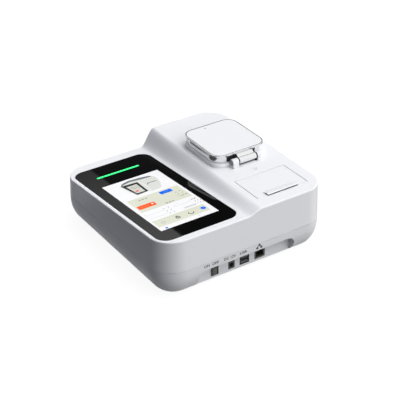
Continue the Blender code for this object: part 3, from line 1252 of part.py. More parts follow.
def make_print_head():
    top = PLATEN_Z - PLATEN_RADIUS - SEAT_GAP
    near = BAY_NEAR_Y + SEAT_GAP
    left = DOOR_X - BAY_HALF
    right = DOOR_X + BAY_HALF
    head = block("print_head", (left, near, top - HEAD_THICKNESS), (right, HEAD_FAR_Y, top))
    leg_low = (left, near, SHALLOW_FLOOR + SEAT_GAP)
    leg_high = (right, near + HEAD_NEAR_LEG, top - HEAD_THICKNESS / 2)
    unite(head, block("head_leg", leg_low, leg_high))
    finish(head, (0.45, 0.46, 0.48), 0.35, 1.0)


def make_tear_bar():
    top = HIGH_DECK_HEIGHT - TEAR_BAR_DROP
    far = BAY_NEAR_Y
    low = (DOOR_X - TEAR_BAR_WIDTH / 2, far - TEAR_BAR_THICKNESS, top - TEAR_BAR_HEIGHT)
    bar = block("tear_bar", low, (DOOR_X + TEAR_BAR_WIDTH / 2, far, top))
    finish(bar, (0.6, 0.6, 0.62), 0.3, 1.0)


def make_paper_roll():
    half = PAPER_WIDTH / 2
    place = (ROLL_Y, ROLL_Z)
    roll = rod_between("paper_roll", DOOR_X - half, DOOR_X + half, place, ROLL_RADIUS)
    reach = half + OVERRUN
    cut(roll, rod_between("roll_core", DOOR_X - reach, DOOR_X + reach, place, CORE_RADIUS))
    finish(roll, (0.95, 0.95, 0.94), 0.9)
    attach(axis_empty("paper_roll_axis", (DOOR_X, ROLL_Y, ROLL_Z)), roll)


clear_scene()
parts = collection(PARTS_NAME)
cutters = collection(CUTTERS_NAME)

make_lower_shell()
make_upper_shell()
for number, (foot_x, foot_y) in enumerate(foot_places()):
    make_foot(number, foot_x, foot_y)
for number, (screw_x, screw_y) in enumerate(screw_places()):
    make_case_screw(number, screw_x, screw_y)
make_mainboard()
make_usb_socket()
make_lan_socket()
make_dc_jack()
make_switch()
make_touch_panel()
lid_pieces = make_ring_and_lid()
make_hinge_base()
lid_axis = axis_empty("lid_axis", (HINGE_X, LID_HINGE_Y, LID_HINGE_Z))
attach(lid_axis, make_hinge_leaf(), *lid_pieces)
make_chamber()
make_scan_frame()
make_scan_head()
make_lead_screw()
make_printer_door()
make_platen()
make_drive_gear()
make_printer_frame()
make_print_head()
make_tear_bar()
make_paper_roll()
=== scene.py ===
import json
import math

import bmesh
import bpy
from mathutils import Matrix, Vector


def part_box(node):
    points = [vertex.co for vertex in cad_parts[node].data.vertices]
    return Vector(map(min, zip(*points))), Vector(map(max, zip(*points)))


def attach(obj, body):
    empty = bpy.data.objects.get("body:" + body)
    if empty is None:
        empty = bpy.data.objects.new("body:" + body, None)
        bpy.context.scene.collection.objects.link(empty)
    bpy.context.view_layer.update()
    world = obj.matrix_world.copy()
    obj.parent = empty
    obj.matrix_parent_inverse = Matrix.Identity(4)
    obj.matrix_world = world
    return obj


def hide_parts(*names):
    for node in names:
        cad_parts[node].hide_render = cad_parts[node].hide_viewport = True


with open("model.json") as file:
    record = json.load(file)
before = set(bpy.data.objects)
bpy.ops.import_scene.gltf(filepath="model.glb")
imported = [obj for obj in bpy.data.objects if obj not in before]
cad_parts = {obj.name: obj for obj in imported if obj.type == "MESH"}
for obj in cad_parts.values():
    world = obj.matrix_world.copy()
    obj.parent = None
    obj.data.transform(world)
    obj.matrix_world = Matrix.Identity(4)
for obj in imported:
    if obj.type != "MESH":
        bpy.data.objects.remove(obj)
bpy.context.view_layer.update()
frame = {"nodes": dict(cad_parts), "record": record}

WORLD = Matrix.Identity(4)

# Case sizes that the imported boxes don't give
CORNER_RADIUS = 0.0340
PARTING_HEIGHT = 0.0432
SEAM_GAP = 0.0005
FOOT_STANDOFF = 0.0025
BOTTOM_EDGE_RUN = 0.0245
BOTTOM_EDGE_RISE = 0.0340
WALL_DRAFT_SHARE = 0.031
WALL = 0.0025
LOW_DECK_WALL = 0.0045
HIGH_DECK_WALL = 0.0030
RIM_FILLET = 0.0016
HIGH_DECK_HEIGHT = 0.0942
LOW_DECK_HEIGHT = 0.0881
LOW_DECK_FALL = 0.0201
STEP_FOOT_X = -0.0010
STEP_RUN = 0.0220
STEP_WALL_SHIFT = 0.0025
LIP_HEIGHT = 0.0030
LIP_GAP = 0.0003
SEAT_GAP = 0.0003
OVERRUN = 0.0020

# Steps of round forms, and widths of small edges
CORNER_STEPS = 20
SMALL_STEPS = 8
FILLET_STEPS = 8
SHORT_STEPS = 5
FEW_STEPS = 4
LEAST_STEPS = 3
PRINT_STEPS = 2
BOTTOM_STEPS = 14
ROLL_STEPS = 24
RING_STEPS = 7
FINE_SIDES = 64
ROUND_SIDES = 48
PLAIN_SIDES = 40
BORE_SIDES = 32
PIN_SIDES = 24
STEP_SPACING = 0.0010
COARSE_SPACING = 0.0110
SHARP_ANGLE = math.radians(30)
SOFTENED_ANGLE = math.radians(40)
LEAST_CORNER_SHARE = 0.02
HAIR_EDGE = 0.0001
MOULD_EDGE = 0.00015
FINE_EDGE = 0.0002
SMALL_EDGE = 0.0003


# Mesh helpers
def link(name, bm, matrix=WORLD):
    """Puts a bmesh into the scene as an object whose place is in its mesh."""
    bmesh.ops.transform(bm, matrix=matrix, verts=bm.verts)
    bmesh.ops.recalc_face_normals(bm, faces=bm.faces)
    mesh = bpy.data.meshes.new(name)
    bm.to_mesh(mesh)
    bm.free()
    obj = bpy.data.objects.new(name, mesh)
    bpy.context.scene.collection.objects.link(obj)
    return obj


def middle(low, high):
    return [(a + b) / 2 for a, b in zip(low, high)]


def half_size(low, high):
    return [(b - a) / 2 for a, b in zip(low, high)]


def rectangle(low, high):
    return (low[0], low[1]), (high[0], low[1]), (high[0], high[1]), (low[0], high[1])


def arc(centre, radius, start, sweep, steps):
    """Points along an arc whose start and sweep are in degrees."""
    angles = [math.radians(start + sweep * i / steps) for i in range(steps + 1)]
    return [(centre[0] + radius * math.cos(a), centre[1] + radius * math.sin(a)) for a in angles]


def circle(radius, sides, centre=(0, 0)):
    return arc(centre, radius, 0, 360, sides)[:-1]


def quarter(steps):
    """What is left of the sine, and of the cosine, along a quarter round."""
    angles = [math.pi / 2 * i / steps for i in range(steps + 1)]
    return [(1 - math.sin(a), 1 - math.cos(a)) for a in angles]


def outline(half_x, half_y, radius, steps=CORNER_STEPS, centre=(0, 0)):
    """Points of a rounded rectangle, counter-clockwise, starting at its near right corner."""
    points = []
    for side_x, side_y, start in ((1, -1, -90), (1, 1, 0), (-1, 1, 90), (-1, -1, 180)):
        place = (centre[0] + side_x * (half_x - radius), centre[1] + side_y * (half_y - radius))
        points += arc(place, radius, start, 90, steps)
    return points


def skin(bm, rings, closed=True):
    """Joins rings of equal length into a tube, with a face over each end."""
    made = [[bm.verts.new(point) for point in ring] for ring in rings]
    for lower, upper in zip(made, made[1:]):
        for i, vert in enumerate(lower):
            j = (i + 1) % len(lower)
            bm.faces.new((vert, lower[j], upper[j], upper[i]))
    if closed:
        bm.faces.new(list(reversed(made[0])))
        bm.faces.new(made[-1])
    return made


def loft(name, rings, matrix=WORLD):
    bm = bmesh.new()
    skin(bm, rings)
    return link(name, bm, matrix)


def rounded_profile(low, high, bottom, top, steps=FILLET_STEPS):
    """Levels (inset, height) of a side wall whose bottom and top edges are rounded."""
    levels = [(bottom * s, low + bottom * c) for s, c in quarter(steps)]
    return levels + [(top * c, high - top * s) for s, c in quarter(steps)]


def flared(low, high, edge, growth=0.0):
    """Levels of a cutting tool whose mouth at the height of the surface is rounded outward."""
    levels = [(-growth, low)] + [(-growth - edge * c, high - edge * s) for s, c in quarter(FEW_STEPS)]
    return levels + [(-growth - edge, high + OVERRUN)]


def barrel_levels(start, end, radius, edge):
    """Levels (position, radius) of a round body whose two ends are rounded."""
    levels = [(start + edge * c, radius - edge * s) for s, c in quarter(FEW_STEPS)]
    return levels + [(end - edge * s, radius - edge * c) for s, c in quarter(FEW_STEPS)]


def plate(name, centre, half, radius, levels, steps=CORNER_STEPS, matrix=WORLD):
    """A rounded plate built from levels (inset, height)."""
    rings = []
    for inset, height in levels:
        corner = max(radius - inset, radius * LEAST_CORNER_SHARE)
        points = outline(half[0] - inset, half[1] - inset, corner, steps, centre)
        rings.append([(x, y, height) for x, y in points])
    return loft(name, rings, matrix)


FACING = Matrix(((1, 0, 0, 0), (0, 0, 1, 0), (0, 1, 0, 0), (0, 0, 0, 1)))
AXIS_TURN = {
    "X": Matrix(((0, 0, 1, 0), (1, 0, 0, 0), (0, 1, 0, 0), (0, 0, 0, 1))),
    "Y": Matrix(((0, 1, 0, 0), (0, 0, 1, 0), (1, 0, 0, 0), (0, 0, 0, 1))),
    "Z": WORLD,
}


def faced_plate(name, low, high, radius, bottom=FINE_EDGE, top=FINE_EDGE, steps=FEW_STEPS):
    """A rounded block that faces along Y, with its near and far edges rounded."""
    low, high = [(x, z, y) for x, y, z in (low, high)]
    levels = rounded_profile(low[2], high[2], bottom, top, FEW_STEPS)
    return plate(name, middle(low, high), half_size(low, high), radius, levels, steps, FACING)


def turned(name, axis, levels, place, sides=ROUND_SIDES):
    """A turned body: levels (position along the axis, radius), at its place on the two other axes.
    Places are (Y, Z) for X, (Z, X) for Y and (X, Y) for Z."""
    rings = [[(a, b, position) for a, b in circle(radius, sides, place)] for position, radius in levels]
    return loft(name, rings, AXIS_TURN[axis])


def prism(name, points, start, end, axis="X", edge=0.0):
    """A flat outline given thickness along an axis, with a small chamfer at both ends if asked."""
    bm = bmesh.new()
    face = bm.faces.new([bm.verts.new((a, b, start)) for a, b in points])
    thicken(bm, [face], (0, 0, end - start))
    if edge:
        rim = [e for e in bm.edges if abs(e.verts[0].co.z - e.verts[1].co.z) < edge / 2]
        bmesh.ops.bevel(bm, geom=rim, offset=edge, segments=2, affect="EDGES", profile=0.5)
    return link(name, bm, AXIS_TURN[axis])


def thicken(bm, faces, shift):
    made = bmesh.ops.extrude_face_region(bm, geom=faces)
    moved = [v for v in made["geom"] if isinstance(v, bmesh.types.BMVert)]
    bmesh.ops.translate(bm, vec=shift, verts=moved)


def flat_shapes(name, outlines, levels, matrix=WORLD):
    """Flat shapes in one mesh, each given thickness between two levels."""
    bm = bmesh.new()
    for points in outlines:
        skin(bm, [[(a, b, level) for a, b in points] for level in levels])
    return link(name, bm, matrix)


def block(name, low, high):
    bm = bmesh.new()
    bmesh.ops.create_cube(bm, size=1)
    bmesh.ops.scale(bm, vec=[b - a for a, b in zip(low, high)], verts=bm.verts)
    bmesh.ops.translate(bm, vec=middle(low, high), verts=bm.verts)
    return link(name, bm)


def boolean(target, tool, operation="DIFFERENCE"):
    modifier = target.modifiers.new("boolean", "BOOLEAN")
    modifier.operation = operation
    modifier.solver = "EXACT"
    modifier.object = tool
    bpy.context.view_layer.update()
    graph = bpy.context.evaluated_depsgraph_get()
    mesh = bpy.data.meshes.new_from_object(target.evaluated_get(graph))
    target.modifiers.clear()
    old = target.data
    target.data = mesh
    bpy.data.meshes.remove(old)
    bpy.data.objects.remove(tool)


def cut(target, *tools):
    for tool in tools:
        boolean(target, tool)


def unite(target, *tools):
    for tool in tools:
        boolean(target, tool, "UNION")


def bore(target, span, radius, place, past=OVERRUN, sides=BORE_SIDES):
    """Cuts a round bore along X that runs past both ends of a span."""
    levels = ((span[0] - past, radius), (span[1] + past, radius))
    cut(target, turned("bore", "X", levels, place, sides))


def soften(obj, width):
    """Rounds the sharp edges of a finished piece."""
    modifier = obj.modifiers.new("edges", "BEVEL")
    modifier.width = width
    modifier.segments = 2
    modifier.limit_method = "ANGLE"
    modifier.angle_limit = SOFTENED_ANGLE
    return obj


def piece(obj, body, slot, *nodes, look=None):
    """Smooths a piece, gives it its look, and makes it ride on its body in place of its nodes."""
    obj.data.shade_smooth()
    obj.data.set_sharp_from_angle(angle=SHARP_ANGLE)
    obj.modifiers.new("normals", "WEIGHTED_NORMAL").keep_sharp = True
    obj.data.materials.clear()
    obj.data.materials.append(materials[look or slot])
    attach(obj, body)
    if nodes:
        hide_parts(*nodes)
    return obj


# Material helpers
NOISE_LOW = 0.3
NOISE_HIGH = 0.7
METAL_GLOSS_SHARES = (0.8, 1.25)


def new_material(name):
    material = bpy.data.materials.new(name)
    material.use_nodes = True
    tree = material.node_tree
    return material, tree, tree.nodes["Principled BSDF"]


def settle(node, values):
    for name, value in values.items():
        node.inputs[name].default_value = value


def add_node(tree, kind, values, source=None, entry="Vector"):
    """A shader node with its input values, fed by a source if there is one."""
    node = tree.nodes.new("ShaderNode" + kind)
    settle(node, values)
    if source:
        tree.links.new(source, node.inputs[entry])
    return node


def add_mix(tree, factor, first, second, data_type="RGBA"):
    """A node that goes from a first value to a second one."""
    mix = tree.nodes.new("ShaderNodeMix")
    mix.data_type = data_type
    tree.links.new(factor, mix.inputs["Factor"])
    mix.inputs["A"].default_value = first
    mix.inputs["B"].default_value = second
    return mix


def coordinates(tree, kind="Object"):
    return tree.nodes.new("ShaderNodeTexCoord").outputs[kind]


def along_axis(tree, axis, values):
    """A value that changes along one axis of an object or of the sky."""
    split = add_node(tree, "SeparateXYZ", {}, coordinates(tree, "Generated"))
    return add_node(tree, "MapRange", values, split.outputs[axis], "Value").outputs["Result"]


def noise(tree, scale, detail=3.0, roughness=0.55, stretch=(1, 1, 1)):
    mapping = add_node(tree, "Mapping", {"Scale": stretch}, coordinates(tree))
    values = {"Scale": scale, "Detail": detail, "Roughness": roughness}
    return add_node(tree, "TexNoise", values, mapping.outputs["Vector"]).outputs["Fac"]


def vary_colour(tree, shader, factor, first, second):
    mix = add_mix(tree, factor, (*first, 1), (*second, 1))
    tree.links.new(mix.outputs["Result"], shader.inputs["Base Color"])


def vary_roughness(tree, shader, factor, low, high):
    values = {"From Min": NOISE_LOW, "From Max": NOISE_HIGH, "To Min": low, "To Max": high}
    spread = add_node(tree, "MapRange", values, factor, "Value")
    tree.links.new(spread.outputs["Result"], shader.inputs["Roughness"])


def bump(tree, shader, height, distance, strength):
    node = add_node(tree, "Bump", {"Strength": strength, "Distance": distance}, height, "Height")
    tree.links.new(node.outputs["Normal"], shader.inputs["Normal"])


def cloudy(name, colour, tint, rough, spread, cloud_scale, gloss_scale):
    """A surface with a faint cloud of tone and uneven gloss."""
    material, tree, shader = new_material(name)
    vary_colour(tree, shader, noise(tree, cloud_scale), colour, [c * tint for c in colour])
    vary_roughness(tree, shader, noise(tree, gloss_scale), rough * (1 - spread), rough * (1 + spread))
    return material, tree, shader


def plastic(name, colour, rough, tint, grain, depth, level=0.5):
    """Moulded plastic: a faint cloud of tone, a fine spark-eroded grain and uneven gloss."""
    clouds = {"spread": 0.12, "cloud_scale": 28.0, "gloss_scale": 60.0}
    material, tree, shader = cloudy(name, colour, tint, rough, **clouds)
    bump(tree, shader, noise(tree, grain, detail=2.0), depth, strength=0.35)
    settle(shader, {"Specular IOR Level": level})
    return material


def metal(name, colour, rough, grain, stretch=(1, 1, 1), depth=0.00001, tint=0.9):
    """Metal with fine directional marks."""
    material, tree, shader = new_material(name)
    settle(shader, {"Metallic": 1.0})
    marks = noise(tree, grain, roughness=0.6, stretch=stretch)
    vary_colour(tree, shader, marks, colour, [c * tint for c in colour])
    low, high = [rough * share for share in METAL_GLOSS_SHARES]
    vary_roughness(tree, shader, marks, low, high)
    bump(tree, shader, marks, depth, strength=0.25)
    return material


def board_material(name):
    """A circuit board: solder mask over copper tracks."""
    material, tree, shader = new_material(name)
    values = {"Scale": 160.0, "Mortar Size": 0.025, "Color1": (0.010, 0.085, 0.035, 1),
              "Color2": (0.012, 0.105, 0.045, 1), "Mortar": (0.050, 0.200, 0.090, 1)}
    brick = add_node(tree, "TexBrick", values, coordinates(tree))
    tree.links.new(brick.outputs["Color"], shader.inputs["Base Color"])
    vary_roughness(tree, shader, noise(tree, scale=200.0), low=0.28, high=0.45)
    bump(tree, shader, brick.outputs["Fac"], distance=0.00004, strength=0.4)
    return material


def window_material(name, colour, rough):
    """Clear glass or plastic with a slight tint."""
    clouds = {"tint": 0.96, "spread": 0.3, "cloud_scale": 40.0, "gloss_scale": 90.0}
    material, tree, shader = cloudy(name, colour, rough=rough, **clouds)
    settle(shader, {"Transmission Weight": 0.9, "IOR": 1.5})
    return material


def paper_material(name):
    """Uncoated paper with fibres."""
    material, tree, shader = new_material(name)
    fibres = noise(tree, scale=700.0, detail=5.0, roughness=0.7)
    vary_colour(tree, shader, fibres, first=(0.88, 0.88, 0.86), second=(0.80, 0.80, 0.78))
    vary_roughness(tree, shader, fibres, low=0.8, high=0.95)
    bump(tree, shader, fibres, distance=0.00003, strength=0.4)
    return material


def lit_material(name, colour, strength, rough=0.25, gloss=0.5):
    """A printed or lit patch behind clear glass."""
    clouds = {"tint": 0.97, "spread": 0.15, "cloud_scale": 50.0, "gloss_scale": 90.0}
    material, tree, shader = cloudy(name, colour, rough=rough, **clouds)
    settle(shader, {"Emission Color": (*colour, 1), "Emission Strength": strength})
    settle(shader, {"Specular IOR Level": gloss})
    return material


# Plastics: colour, roughness, tint of the cloud, scale of the grain, its depth, specular level
PLASTICS = {
    "upper_case": ((0.855, 0.860, 0.875), 0.42, 0.985, 900.0, 0.00002, 0.3),
    "lower_case": ((0.800, 0.806, 0.826), 0.42, 0.985, 900.0, 0.00002, 0.3),
    "black_glass": ((0.0020, 0.0020, 0.0022), 0.03, 0.9, 120.0, 0.000001, 0.42),
    "dark_plastic": ((0.028, 0.028, 0.031), 0.55, 0.85, 700.0, 0.00004),
    "black_plastic": ((0.011, 0.012, 0.012), 0.42, 0.8, 900.0, 0.00002),
    "gear_plastic": ((0.78, 0.77, 0.72), 0.45, 0.94, 500.0, 0.00002),
    "black_rubber": ((0.020, 0.020, 0.021), 0.85, 0.8, 350.0, 0.00008, 0.25),
    "faint_print": ((0.52, 0.52, 0.53), 0.6, 0.95, 600.0, 0.000004),
    "label_print": ((0.060, 0.060, 0.065), 0.6, 0.9, 600.0, 0.000004),
    # Slate for the cap on the hinge's left end: painted shade of that end face
    "cap_plastic": ((0.21, 0.215, 0.235), 0.4, 0.9, 600.0, 0.00001),
    "tongue_plastic": ((0.145, 0.145, 0.15), 0.5, 0.88, 800.0, 0.00002),
    "port_plastic": ((0.035, 0.037, 0.036), 0.45, 0.85, 800.0, 0.00002),
    "rocker_plastic": ((0.070, 0.080, 0.068), 0.5, 0.88, 800.0, 0.00002),
}
# Metals: colour, roughness, scale of the marks, their stretch, their depth, tint of the marks
METALS = {
    "chrome_trim": ((0.82, 0.82, 0.84), 0.10, 240.0, (1, 1, 1), 0.000004, 0.96),
    "hinge_metal": ((0.88, 0.88, 0.89), 0.16, 300.0, (1, 6, 6), 0.000006, 0.95),
    "steel": ((0.58, 0.58, 0.60), 0.25, 400.0, (6, 1, 6)),
    "motor_case": ((0.32, 0.32, 0.34), 0.34, 500.0, (1, 8, 8)),
    "frame_aluminium": ((0.66, 0.67, 0.69), 0.38, 260.0, (1, 8, 1), 0.00002),
    "usb_metal": ((0.030, 0.030, 0.032), 0.45, 500.0, (1, 1, 6)),
    "contact_gold": ((0.80, 0.60, 0.28), 0.25, 500.0),
}
materials = {
    "screen": lit_material("screen_look", (0.80, 0.81, 0.80), strength=0.05),
    "light_guide": lit_material("light_guide_look", (0.020, 0.92, 0.22), strength=0.80, rough=0.3),
    "circuit_board": board_material("circuit_board_look"),
    "lens_glass": window_material("lens_glass_look", (0.55, 0.65, 0.85), rough=0.04),
    "window_glass": window_material("window_glass_look", (0.85, 0.92, 0.92), rough=0.03),
    "paper": paper_material("paper_look"),
}
for maker, table in ((plastic, PLASTICS), (metal, METALS)):
    for kind, values in table.items():
        materials[kind] = maker(kind + "_look", *values)

# Case surfaces
case_low, case_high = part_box("lower_shell")
HALF_X, HALF_Y, _ = half_size(case_low, case_high)
PORT_FACE_Y = -HALF_Y
LOW_DECK_TILT = math.atan(LOW_DECK_FALL / (2 * HALF_Y))
LOW_DECK_FRAME = Matrix.Translation((0, 0, LOW_DECK_HEIGHT - LOW_DECK_FALL / 2)) @ Matrix.Rotation(
    -LOW_DECK_TILT, 4, "X"
)
WALL_SHARES = (0, 0.25, 0.5, 0.75, 1)
TOP_SHARES = (0.02, 0.08, 0.2, 0.4, 0.65)


def step_share(x, shift):
    return min(max((x - STEP_FOOT_X - shift) / STEP_RUN, 0), 1)


def deck_height(x, y, shift=0.0):
    share = step_share(x, shift)
    blend = share * share * (3 - 2 * share)
    low_deck = LOW_DECK_HEIGHT - LOW_DECK_FALL * (y / (2 * HALF_Y) + 0.5)
    return low_deck * (1 - blend) + HIGH_DECK_HEIGHT * blend


def body_rings(inset, top):
    """Rings of the case wall from its rounded foot up to a height, moved inward by an inset."""
    run = BOTTOM_EDGE_RUN - inset
    rise = BOTTOM_EDGE_RISE - inset
    levels = [(run * s, FOOT_STANDOFF + inset + rise * c) for s, c in quarter(BOTTOM_STEPS)]
    levels.append((0, PARTING_HEIGHT))
    if top > PARTING_HEIGHT:
        levels.append((WALL_DRAFT_SHARE * (top - PARTING_HEIGHT), top))
    rings = []
    for inward, z in levels:
        corner = CORNER_RADIUS - inset - min(inward, run)
        points = outline(HALF_X - inset - inward, HALF_Y - inset - inward, corner)
        rings.append([(x, y, z) for x, y in points])
    return rings


def deck_solid(name, low_drop, high_drop, shift):
    """Everything below the two decks and the step between them."""
    reach_x = HALF_X + OVERRUN
    reach_y = HALF_Y + OVERRUN
    stations = spread(STEP_FOOT_X + shift, STEP_FOOT_X + shift + STEP_RUN, STEP_SPACING)
    rings = []
    for y in (-reach_y, 0, reach_y):
        ring = [(reach_x, y, -OVERRUN), (-reach_x, y, -OVERRUN)]
        for x in [-reach_x] + stations + [reach_x]:
            share = step_share(x, shift)
            drop = low_drop * (1 - share) + high_drop * share
            ring.append((x, y, deck_height(x, y, shift) - drop))
        rings.append(ring)
    return loft(name, rings)


def spread(low, high, spacing):
    count = max(1, round((high - low) / spacing))
    return [low + (high - low) * i / count for i in range(count + 1)]


def upper_outer(name):
    """The outer surface of the upper shell: walls, rounded rim, both decks and the step."""
    end_x = HALF_X - CORNER_RADIUS
    end_y = HALF_Y - CORNER_RADIUS
    fine_low = STEP_FOOT_X - 2 * STEP_SPACING
    fine_high = STEP_FOOT_X + STEP_RUN + 2 * STEP_SPACING
    xs = spread(-end_x, fine_low, COARSE_SPACING)[:-1]
    xs += spread(fine_low, fine_high, STEP_SPACING)
    xs += spread(fine_high, end_x, COARSE_SPACING)[1:]
    ys = spread(-end_y, end_y, COARSE_SPACING)
    last_x, last_y = len(xs) - 1, len(ys) - 1
    sides = (
        [(i, 0) for i in range(last_x + 1)],
        [(last_x, j) for j in range(last_y + 1)],
        [(i, last_y) for i in range(last_x, -1, -1)],
        [(0, j) for j in range(last_y, -1, -1)],
    )
    base = []
    for turn, cells in enumerate(sides):
        start = math.radians(90 * turn - 90)
        turns = [(cell, start) for cell in cells]
        turns += [(cells[-1], start + math.pi / 2 * k / CORNER_STEPS) for k in range(1, CORNER_STEPS)]
        for cell, angle in turns:
            outward = Vector((math.cos(angle), math.sin(angle)))
            place = Vector((xs[cell[0]], ys[cell[1]])) + outward * CORNER_RADIUS
            base.append((place, -outward, cell))

    bottom = PARTING_HEIGHT + SEAM_GAP
    tops = [deck_height(*(place + inward * 2 * RIM_FILLET)) - RIM_FILLET for place, inward, _ in base]
    rings = []
    for share in WALL_SHARES:
        ring = []
        for (place, inward, _), top in zip(base, tops):
            z = bottom + (top - bottom) * share
            ring.append((*(place + inward * WALL_DRAFT_SHARE * (z - PARTING_HEIGHT)), z))
        rings.append(ring)
    levels = [(RIM_FILLET * c, 0, RIM_FILLET * s) for s, c in quarter(FILLET_STEPS)[1:]]
    levels += [(RIM_FILLET, share, 0) for share in TOP_SHARES]
    for inset, share, drop in levels:
        ring = []
        for (place, inward, _), top in zip(base, tops):
            reach = WALL_DRAFT_SHARE * (top - PARTING_HEIGHT) + inset
            x, y = place + inward * (reach + (CORNER_RADIUS - reach) * share)
            ring.append((x, y, deck_height(x, y) - drop))
        rings.append(ring)

    bm = bmesh.new()
    made = skin(bm, rings, closed=False)
    bm.faces.new(list(reversed(made[0])))
    grid = [[bm.verts.new((x, y, deck_height(x, y))) for y in ys] for x in xs]
    inner = [grid[i][j] for _, _, (i, j) in base]
    for i, vert in enumerate(made[-1]):
        j = (i + 1) % len(base)
        corners = (made[-1][j], inner[i]) if inner[i] is inner[j] else (made[-1][j], inner[j], inner[i])
        bm.faces.new((vert, *corners))
    for i in range(last_x):
        for j in range(last_y):
            bm.faces.new((grid[i][j], grid[i + 1][j], grid[i + 1][j + 1], grid[i][j + 1]))
    return link(name, bm)


lid_low, lid_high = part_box("lid_cover")
LID_CENTRE = middle(lid_low, lid_high)[:2]
LID_HALF = half_size(lid_low, lid_high)[:2]
LID_CORNER = 0.0155
WELL_OUTER_HALF = (0.0348, 0.0378)
WELL_OUTER_CORNER = 0.0075
DOOR_LEFT_X = 0.0287
DOOR_RIGHT_X = 0.1083
DOOR_NEAR_Y = -0.1090
DOOR_FAR_Y = -0.0568
DOOR_THICKNESS = 0.0026
DOOR_CORNER = 0.0005
DOOR_SEAM = 0.0004
COLLAR_WALL = 0.0025
COLLAR_DEPTH = 0.0062
DOOR_LOW = (DOOR_LEFT_X, DOOR_NEAR_Y)
DOOR_HIGH = (DOOR_RIGHT_X, DOOR_FAR_Y)
GLASS_CENTRE = (-0.06265, -0.002725)
GLASS_HALF = (0.05865, 0.116225)
GLASS_CORNER = 0.0160
GLASS_THICKNESS = 0.0016
GLASS_EDGES = (0.0002, 0.0005)
PANEL_GAP = 0.0003
SCREEN_CENTRE = (-0.0632, -0.0190)
SCREEN_HALF = (0.0480, 0.0790)
SCREEN_HOLE_CORNER = 0.0018
LIGHT_CENTRE = (-0.0656, 0.0827)
LIGHT_HALF = (0.0350, 0.0030)
LIGHT_HOLE_CORNER = 0.0020


def make_upper_shell():
    """The upper shell: hollow, with the mouths of the door, the chamber, the panel and the tear bar."""
    shell = upper_outer("upper_shell_skin")
    hollow = loft("hollow", body_rings(WALL, HIGH_DECK_HEIGHT + OVERRUN))
    boolean(hollow, deck_solid("underside", LOW_DECK_WALL, HIGH_DECK_WALL, STEP_WALL_SHIFT), "INTERSECT")
    cut(shell, hollow)
    rabbet = [(WALL / 2, PARTING_HEIGHT - OVERRUN), (WALL / 2, PARTING_HEIGHT + LIP_HEIGHT + LIP_GAP)]
    cut(shell, plate("rabbet", (0, 0), (HALF_X, HALF_Y), CORNER_RADIUS, rabbet))
    grow = DOOR_SEAM + COLLAR_WALL
    collar_low = (DOOR_LEFT_X - grow, DOOR_NEAR_Y - grow, HIGH_DECK_HEIGHT - COLLAR_DEPTH)
    collar_high = (DOOR_RIGHT_X + grow, DOOR_FAR_Y + grow, HIGH_DECK_HEIGHT - SEAT_GAP)
    unite(shell, block("collar", collar_low, collar_high))
    mouth = flared(HIGH_DECK_HEIGHT - 2 * COLLAR_DEPTH, HIGH_DECK_HEIGHT, SMALL_EDGE, DOOR_SEAM)
    door_place = middle(DOOR_LOW, DOOR_HIGH)
    cut(shell, plate("door_mouth", door_place, half_size(DOOR_LOW, DOOR_HIGH), DOOR_CORNER, mouth, FEW_STEPS))
    opening = [(-SEAT_GAP, PARTING_HEIGHT), (-SEAT_GAP, HIGH_DECK_HEIGHT + OVERRUN)]
    cut(shell, plate("chamber_mouth", LID_CENTRE, WELL_OUTER_HALF, WELL_OUTER_CORNER, opening, SMALL_STEPS))
    pocket = flared(-GLASS_THICKNESS - SEAT_GAP, 0, SMALL_EDGE, PANEL_GAP)
    through = [(-PANEL_GAP, -LOW_DECK_WALL - OVERRUN), (-PANEL_GAP, -GLASS_THICKNESS)]
    for name, centre, half, corner, levels, steps in (
        ("pocket", GLASS_CENTRE, GLASS_HALF, GLASS_CORNER, pocket, CORNER_STEPS),
        ("screen_hole", SCREEN_CENTRE, SCREEN_HALF, SCREEN_HOLE_CORNER, through, LEAST_STEPS),
        ("light_hole", LIGHT_CENTRE, LIGHT_HALF, LIGHT_HOLE_CORNER, through, FEW_STEPS),
    ):
        cut(shell, plate(name, centre, half, corner, levels, steps, LOW_DECK_FRAME))
    bar_low, bar_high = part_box("tear_bar")
    gap = Vector((SEAT_GAP, SEAT_GAP, SEAT_GAP))
    slot_high = Vector((bar_high[0], bar_high[1] + OVERRUN, HIGH_DECK_HEIGHT + OVERRUN)) + gap
    cut(shell, block("bar_slot", Vector(bar_low) - gap, slot_high))
    return shell


RECESS_HALF_WIDTH = 0.0750
RECESS_TOP = 0.0331
RECESS_DEPTH = 0.0135
RECESS_CORNER = 0.0130
RECESS_WALL = 0.0025
PORT_GAP = 0.0003
SWITCH_HOLE_MARGIN = 0.0010
SCREW_POST_WALL = 0.0016
SCREW_WELL_ROOF = 0.0080
PLATE_Y = PORT_FACE_Y + RECESS_DEPTH


def recess_tool(name, growth=0.0):
    """The port recess: an arch across the near face, open at the bottom."""
    half = RECESS_HALF_WIDTH + growth
    radius = RECESS_CORNER + growth
    centre_z = RECESS_TOP + growth - radius
    points = [(-half, -RECESS_TOP), (half, -RECESS_TOP)]
    points += arc((half - radius, centre_z), radius, 0, 90, CORNER_STEPS)
    points += arc((radius - half, centre_z), radius, 90, 90, CORNER_STEPS)
    return loft(name, [[(x, y, z) for x, z in points] for y in (PORT_FACE_Y - OVERRUN, PLATE_Y + growth)])


def upright(node):
    """Place, radius, bottom and top of a round node that stands upright."""
    low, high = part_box(node)
    return middle(low, high)[:2], half_size(low, high)[0], low[2], high[2]


